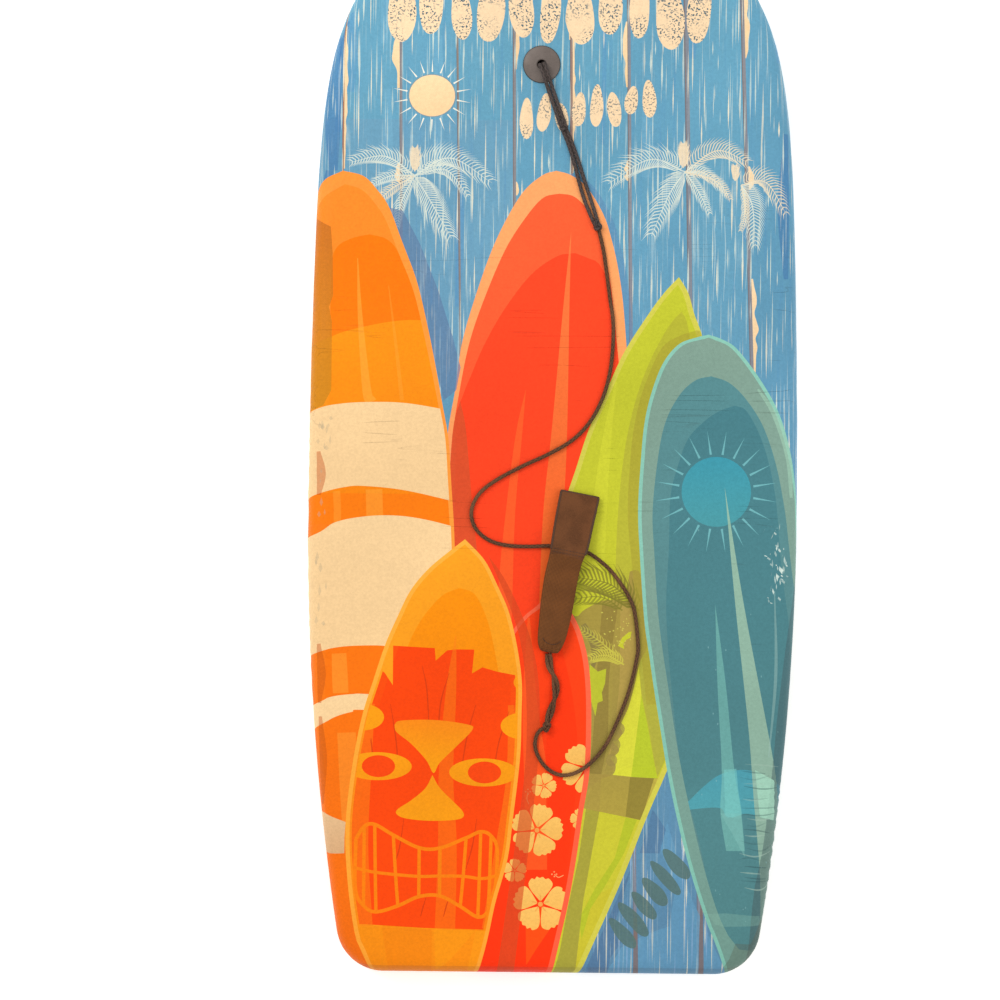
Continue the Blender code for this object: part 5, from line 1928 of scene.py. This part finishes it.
def build_cuff(settings):
    mesh = air_mesh(tuple(settings.mesh))
    strap = brushed_strap("brushed_polyamide_strap", tuple(settings.strap), 0.0009)
    loops = brushed_strap("hook_and_loop_pile", tuple(settings.tape), 0.0014)
    thread = thread_finish(tuple(settings.thread))

    path = band_path()
    thick = np.full(len(path), 0.0030)
    front = (path[:, 1] > 0.0084) & (path[:, 0] > 0.088)
    thick[front] = 0.0030 - 0.0014 * np.clip((path[front, 0] - 0.088) / 0.010, 0, 1)
    path[front, 1] = 0.0070 + thick[front] / 2
    band_piece = cloth_layer(
        "cuff_padded_band", path, thick, mesh, puff=0.10, columns=64, crease=fold_gathers
    )
    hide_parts("cuff_front_pad")
    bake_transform(band_piece)

    p = np.arange(0.0754, 0.1341, 0.0016)
    back = cloth_layer(
        "cuff_back_end", np.stack([p, np.full(len(p), 0.0018)], axis=1), 0.0030, mesh, puff=0.05
    )
    stands_for(back, "board", "cuff_back_pad")

    p = np.arange(0.104, 0.1341, 0.0016)
    pile = cloth_layer(
        "cuff_loop_strip", np.stack([p, np.full(len(p), 0.00435)], axis=1), 0.0011, loops, 8.0, 0.001
    )
    stands_for(pile, "board", "cuff_loop_tape")

    p = np.arange(0.104, 0.1381, 0.0016)
    hooks = cloth_layer(
        "cuff_hook_strip", np.stack([p, np.full(len(p), 0.00595)], axis=1), 0.0009, loops, 8.0, 0.001
    )
    stands_for(hooks, "cuff_front", "cuff_hook_tape")

    p = np.arange(0.0925, CUFF_LENGTH + 0.0001, 0.0012)
    over = np.clip((p - 0.093) / 0.008, 0, 1)
    droop = np.clip((p - 0.139) / 0.018, 0, 1)
    height = 0.0089 - 0.0010 * over**2 * (3 - 2 * over) - 0.0042 * droop**2
    thick = 0.0018 * np.clip((p - 0.0905) / 0.007, 0.25, 1)
    flap = cloth_layer(
        "cuff_flap_strap", np.stack([p, height - 0.0007 * (1 - thick / 0.0018)], axis=1), thick, strap,
        10.0, columns=72, crease=strap_creases
    )
    stands_for(flap, "cuff_front", "cuff_flap")

    # Bound edge round the flap, and the seam where it is sewn on the band
    bound = p > 0.0985
    middle, half = cuff_width(p[bound])
    left = np.stack([p[bound], middle - half + 0.0004, height[bound]], axis=1)
    right = np.stack([p[bound], middle + half - 0.0004, height[bound]], axis=1)
    end = np.stack(
        [np.full(14, p[-1]), np.linspace(left[-1, 1], right[-1, 1], 16)[1:-1], np.full(14, height[-1])],
        axis=1
    )
    rim = np.concatenate([left, end, right[::-1]])
    rim[:, 2] += cuff_rise(rim[:, 0])
    rim = evenly(cuff_point(rim[:, 0], rim[:, 1], rim[:, 2]), 0.0012)
    edge = swept(
        "cuff_flap_binding", tube_rings(rim, np.full((len(rim), 12), 0.0012)), strap_binding(settings),
        np.linspace(0, 0.007, 13), run_along(rim)
    )
    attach(edge, "cuff_front")

    q = np.linspace(-0.0145, 0.0135, 10)
    rows = [
        cuff_point(
            np.full(10, at), q, np.full(10, 0.0093 if at < 0.097 else 0.0090) + cuff_rise(at)
        ) for at in (0.0965, 0.0995)
    ]
    for k, row in enumerate(rows):
        stitch_run(f"cuff_seam_{k + 1}", row, thread)
    angle = np.linspace(math.radians(205), math.radians(335), 9)
    hem_row = cuff_point(0.0085 + 0.0065 * (1 + np.sin(angle)), 0.0088 * np.cos(angle), np.full(9, 0.01015))
    stitch_run("cuff_fold_stitches", hem_row, thread)


def strap_binding(settings):
    """Folded grosgrain edge tape: darker than the strap, ribbed across at about 1 mm."""
    made, tree, shader, place = new_material("folded_grosgrain_binding", 0.7, ior=1.53)
    colour = toned(settings.strap, 0.62)
    _, along, _ = node(tree, SPLIT, node(tree, CLOTH_UV))
    ribs = node(tree, SMOOTH_RUN, node(tree, SINE, node(tree, TIMES, along, 2 * math.pi / 0.001)), -1.0, 1.0)
    base = node(tree, MIX, ribs, toned(colour, 0.6), colour)
    feed(tree, shader, Base_Color=base)
    relief(tree, shader, ribs, 0.0001)
    return made


# ---------------------------------------------------------------- settings, operators and panel


class BodyboardCover(bpy.types.PropertyGroup):
    """Sizes of the printed cover."""

    weave_pitch: size(
        "Weave pitch", "Distance between the threads that show in the cover", 0.0017, 0.0003, 0.01
    )


class BodyboardLeash(bpy.types.PropertyGroup):
    """Sizes and colours of the leash."""

    colour: tint("Leash", "Colour of the braided leash", "#633f22")
    string_colour: tint("Plug string", "Colour of the string at the plug", "#4d4240")
    braid_pitch: size("Braid pitch", "Length of one turn of a yarn round the leash", 0.0052, 0.002, 0.03)


class BodyboardHard(bpy.types.PropertyGroup):
    """Colours of the slick and the plug."""

    slick: tint("Slick", "Colour of the bottom slick", "#2b2c2e")
    plug: tint("Plug", "Colour of the leash plug", "#6d635f")


class BodyboardCuff(bpy.types.PropertyGroup):
    """Colours of the wrist cuff."""

    mesh: tint("Mesh", "Colour of the padded band's mesh", "#70431f")
    strap: tint("Strap", "Colour of the flap", "#6b4226")
    tape: tint("Tape", "Colour of the hook-and-loop tape", "#3a2417")
    thread: tint("Thread", "Colour of the sewing thread", "#4a2a16")


class BodyboardStage(bpy.types.PropertyGroup):
    """Camera, floor and light."""

    camera_height: size("Camera height", "Height of the camera above the deck", 2.95, 0.5, 20)
    camera_turn: bpy.props.FloatProperty(
        name="Camera turn", description="Turn of the camera about its own axis",
        default=0.0103, subtype="ANGLE",
    )
    lens: bpy.props.FloatProperty(
        name="Lens", description="Focal length of the camera", default=110.5, unit="CAMERA",
    )
    floor: tint("Floor", "Colour of the floor", "#ffffff")


class BODYBOARD_OT_stage(bpy.types.Operator):
    """Adds the floor, the soft lights and the camera"""

    bl_idname = "bodyboard.stage"
    bl_label = "Stage"

    def execute(self, context):
        settings = context.scene.bodyboard_stage
        floor = mesh_object(
            "floor", [(-6, -6, 0), (6, -6, 0), (6, 6, 0), (-6, 6, 0)], [(0, 1, 2, 3)],
            floor_finish(settings.floor)
        )
        floor.location.z = -0.0004
        world = bpy.data.worlds.new("studio_air")
        world.use_nodes = True
        world.node_tree.nodes["Background"].inputs["Color"].default_value = (1.0, 0.985, 0.95, 1.0)
        world.node_tree.nodes["Background"].inputs["Strength"].default_value = 0.64
        context.scene.world = world
        context.scene.view_settings.view_transform = "Standard"
        soft_light("key", (-1.6, 1.5, 2.4), 1.6, 43.0)
        soft_light("fill", (1.8, -0.6, 2.2), 2.0, 19.0)
        data = bpy.data.cameras.new("camera")
        data.lens = settings.lens
        data.sensor_width = 36
        data.clip_end = 50
        camera = bpy.data.objects.new("camera", data)
        context.scene.collection.objects.link(camera)
        camera.location = (-0.0508, -0.0650, DECK + settings.camera_height)
        camera.rotation_euler = (0.0, 0.0, settings.camera_turn)
        context.scene.camera = camera
        return {"FINISHED"}


class BODYBOARD_OT_leash(bpy.types.Operator):
    """Adds the leash, the doubled strings at both of its ends and the four knots"""

    bl_idname = "bodyboard.leash"
    bl_label = "Leash"

    def execute(self, context):
        settings = context.scene.bodyboard_leash
        cord = braided_cord("braided_polyester_cord", tuple(settings.colour), settings.braid_pitch)
        string = braided_cord("braided_polyester_string", tuple(settings.string_colour), settings.braid_pitch)
        for name, node_name, place, direction, finish in (
            ("hitch_knot_tied", "hitch_knot", HITCH_KNOT, (0.33, -0.94), string),
            ("cord_knot_tied", "cord_knot", CORD_KNOT, (0.33, -0.94), string),
            ("cuff_knot_tied", "cuff_knot", CUFF_KNOT, (0.17, 0.98), cord),
            ("stopper_knot_tied", "plug_stopper_knot", (*PLUG, DECK - 0.0092), (0.0, 1.0), string),
        ):
            knot = knot_piece(name, place, direction, finish)
            stands_for(knot, "board", node_name)
        pitch = settings.braid_pitch
        line = evenly(plug_string_line(), 0.002)
        pair = [beside(line, sign * STRAND_OFFSET) for sign in (-1, 1)]
        doubled_cord("plug_string", pair, string, pitch)
        route = [(0.0069, 0.2928), *END_LOOP_ROUTE, (0.0394, 0.2005)]
        line = evenly(catmull_rom(on_deck(route)), 0.002)
        along = np.linspace(0, 1, len(line))
        spread = STRAND_OFFSET - 0.0004 + END_LOOP_BULGE * np.sin(math.pi * along**2)
        pair = [beside(line, sign * spread) for sign in (-1, 1)]
        doubled_cord("end_loop", pair, string, pitch)
        route = [(0.0403, 0.1982), *LEASH_ROUTE, (-0.0045, -0.2826)]
        declared_cord(
            "leash_cord_braid", "leash_cord", catmull_rom(on_deck(route)), cord, pitch,
        )
        line = catmull_rom(on_deck([(-0.0034, -0.2808), *CUFF_LOOP_ROUTE]))
        pair = [twisted(line, 0.00195, 1.4, start) for start in (0.5 * math.pi, 1.5 * math.pi)]
        doubled_cord("cuff_loop", pair, cord, pitch)
        return {"FINISHED"}


class BODYBOARD_OT_cover(bpy.types.Operator):
    """Adds the printed cover over the deck and the rails"""

    bl_idname = "bodyboard.cover"
    bl_label = "Printed cover"

    def execute(self, context):
        build_cover(context.scene.bodyboard_cover)
        return {"FINISHED"}


class BODYBOARD_OT_hard(bpy.types.Operator):
    """Adds the bottom slick and the leash plug, and finishes the foam core"""

    bl_idname = "bodyboard.hard"
    bl_label = "Slick, plug and core"

    def execute(self, context):
        build_slick(context.scene.bodyboard_hard)
        build_plug(context.scene.bodyboard_hard)
        return {"FINISHED"}


class BODYBOARD_OT_cuff(bpy.types.Operator):
    """Adds the wrist cuff: padded band, flap, hook-and-loop tapes, binding and stitches"""

    bl_idname = "bodyboard.cuff"
    bl_label = "Wrist cuff"

    def execute(self, context):
        build_cuff(context.scene.bodyboard_cuff)
        return {"FINISHED"}


class BODYBOARD_PT_panel(bpy.types.Panel):
    """Sizes, colours and build steps of the bodyboard"""

    bl_label = "Bodyboard"
    bl_idname = "BODYBOARD_PT_panel"
    bl_space_type = "VIEW_3D"
    bl_region_type = "UI"
    bl_category = "Bodyboard"

    def draw(self, context):
        for name, _ in GROUPS:
            settings = getattr(context.scene, name)
            box = self.layout.box()
            for key in settings.__annotations__:
                box.prop(settings, key)
        for operator in OPERATORS:
            self.layout.operator(operator.bl_idname)


GROUPS = (
    ("bodyboard_stage", BodyboardStage),
    ("bodyboard_leash", BodyboardLeash),
    ("bodyboard_cover", BodyboardCover),
    ("bodyboard_hard", BodyboardHard),
    ("bodyboard_cuff", BodyboardCuff),
)
OPERATORS = (
    BODYBOARD_OT_stage, BODYBOARD_OT_leash, BODYBOARD_OT_cover, BODYBOARD_OT_hard, BODYBOARD_OT_cuff,
)


def register():
    for _, group in GROUPS:
        bpy.utils.register_class(group)
    for name, group in GROUPS:
        setattr(bpy.types.Scene, name, bpy.props.PointerProperty(type=group))
    for kind in (*OPERATORS, BODYBOARD_PT_panel):
        bpy.utils.register_class(kind)


def unregister():
    for kind in (BODYBOARD_PT_panel, *reversed(OPERATORS)):
        bpy.utils.unregister_class(kind)
    for name, group in GROUPS:
        delattr(bpy.types.Scene, name)
        bpy.utils.unregister_class(group)


def main():
    register()
    bpy.ops.bodyboard.stage()
    bpy.ops.bodyboard.leash()
    bpy.ops.bodyboard.cover()
    bpy.ops.bodyboard.hard()
    bpy.ops.bodyboard.cuff()


if __name__ == "__main__":
    main()
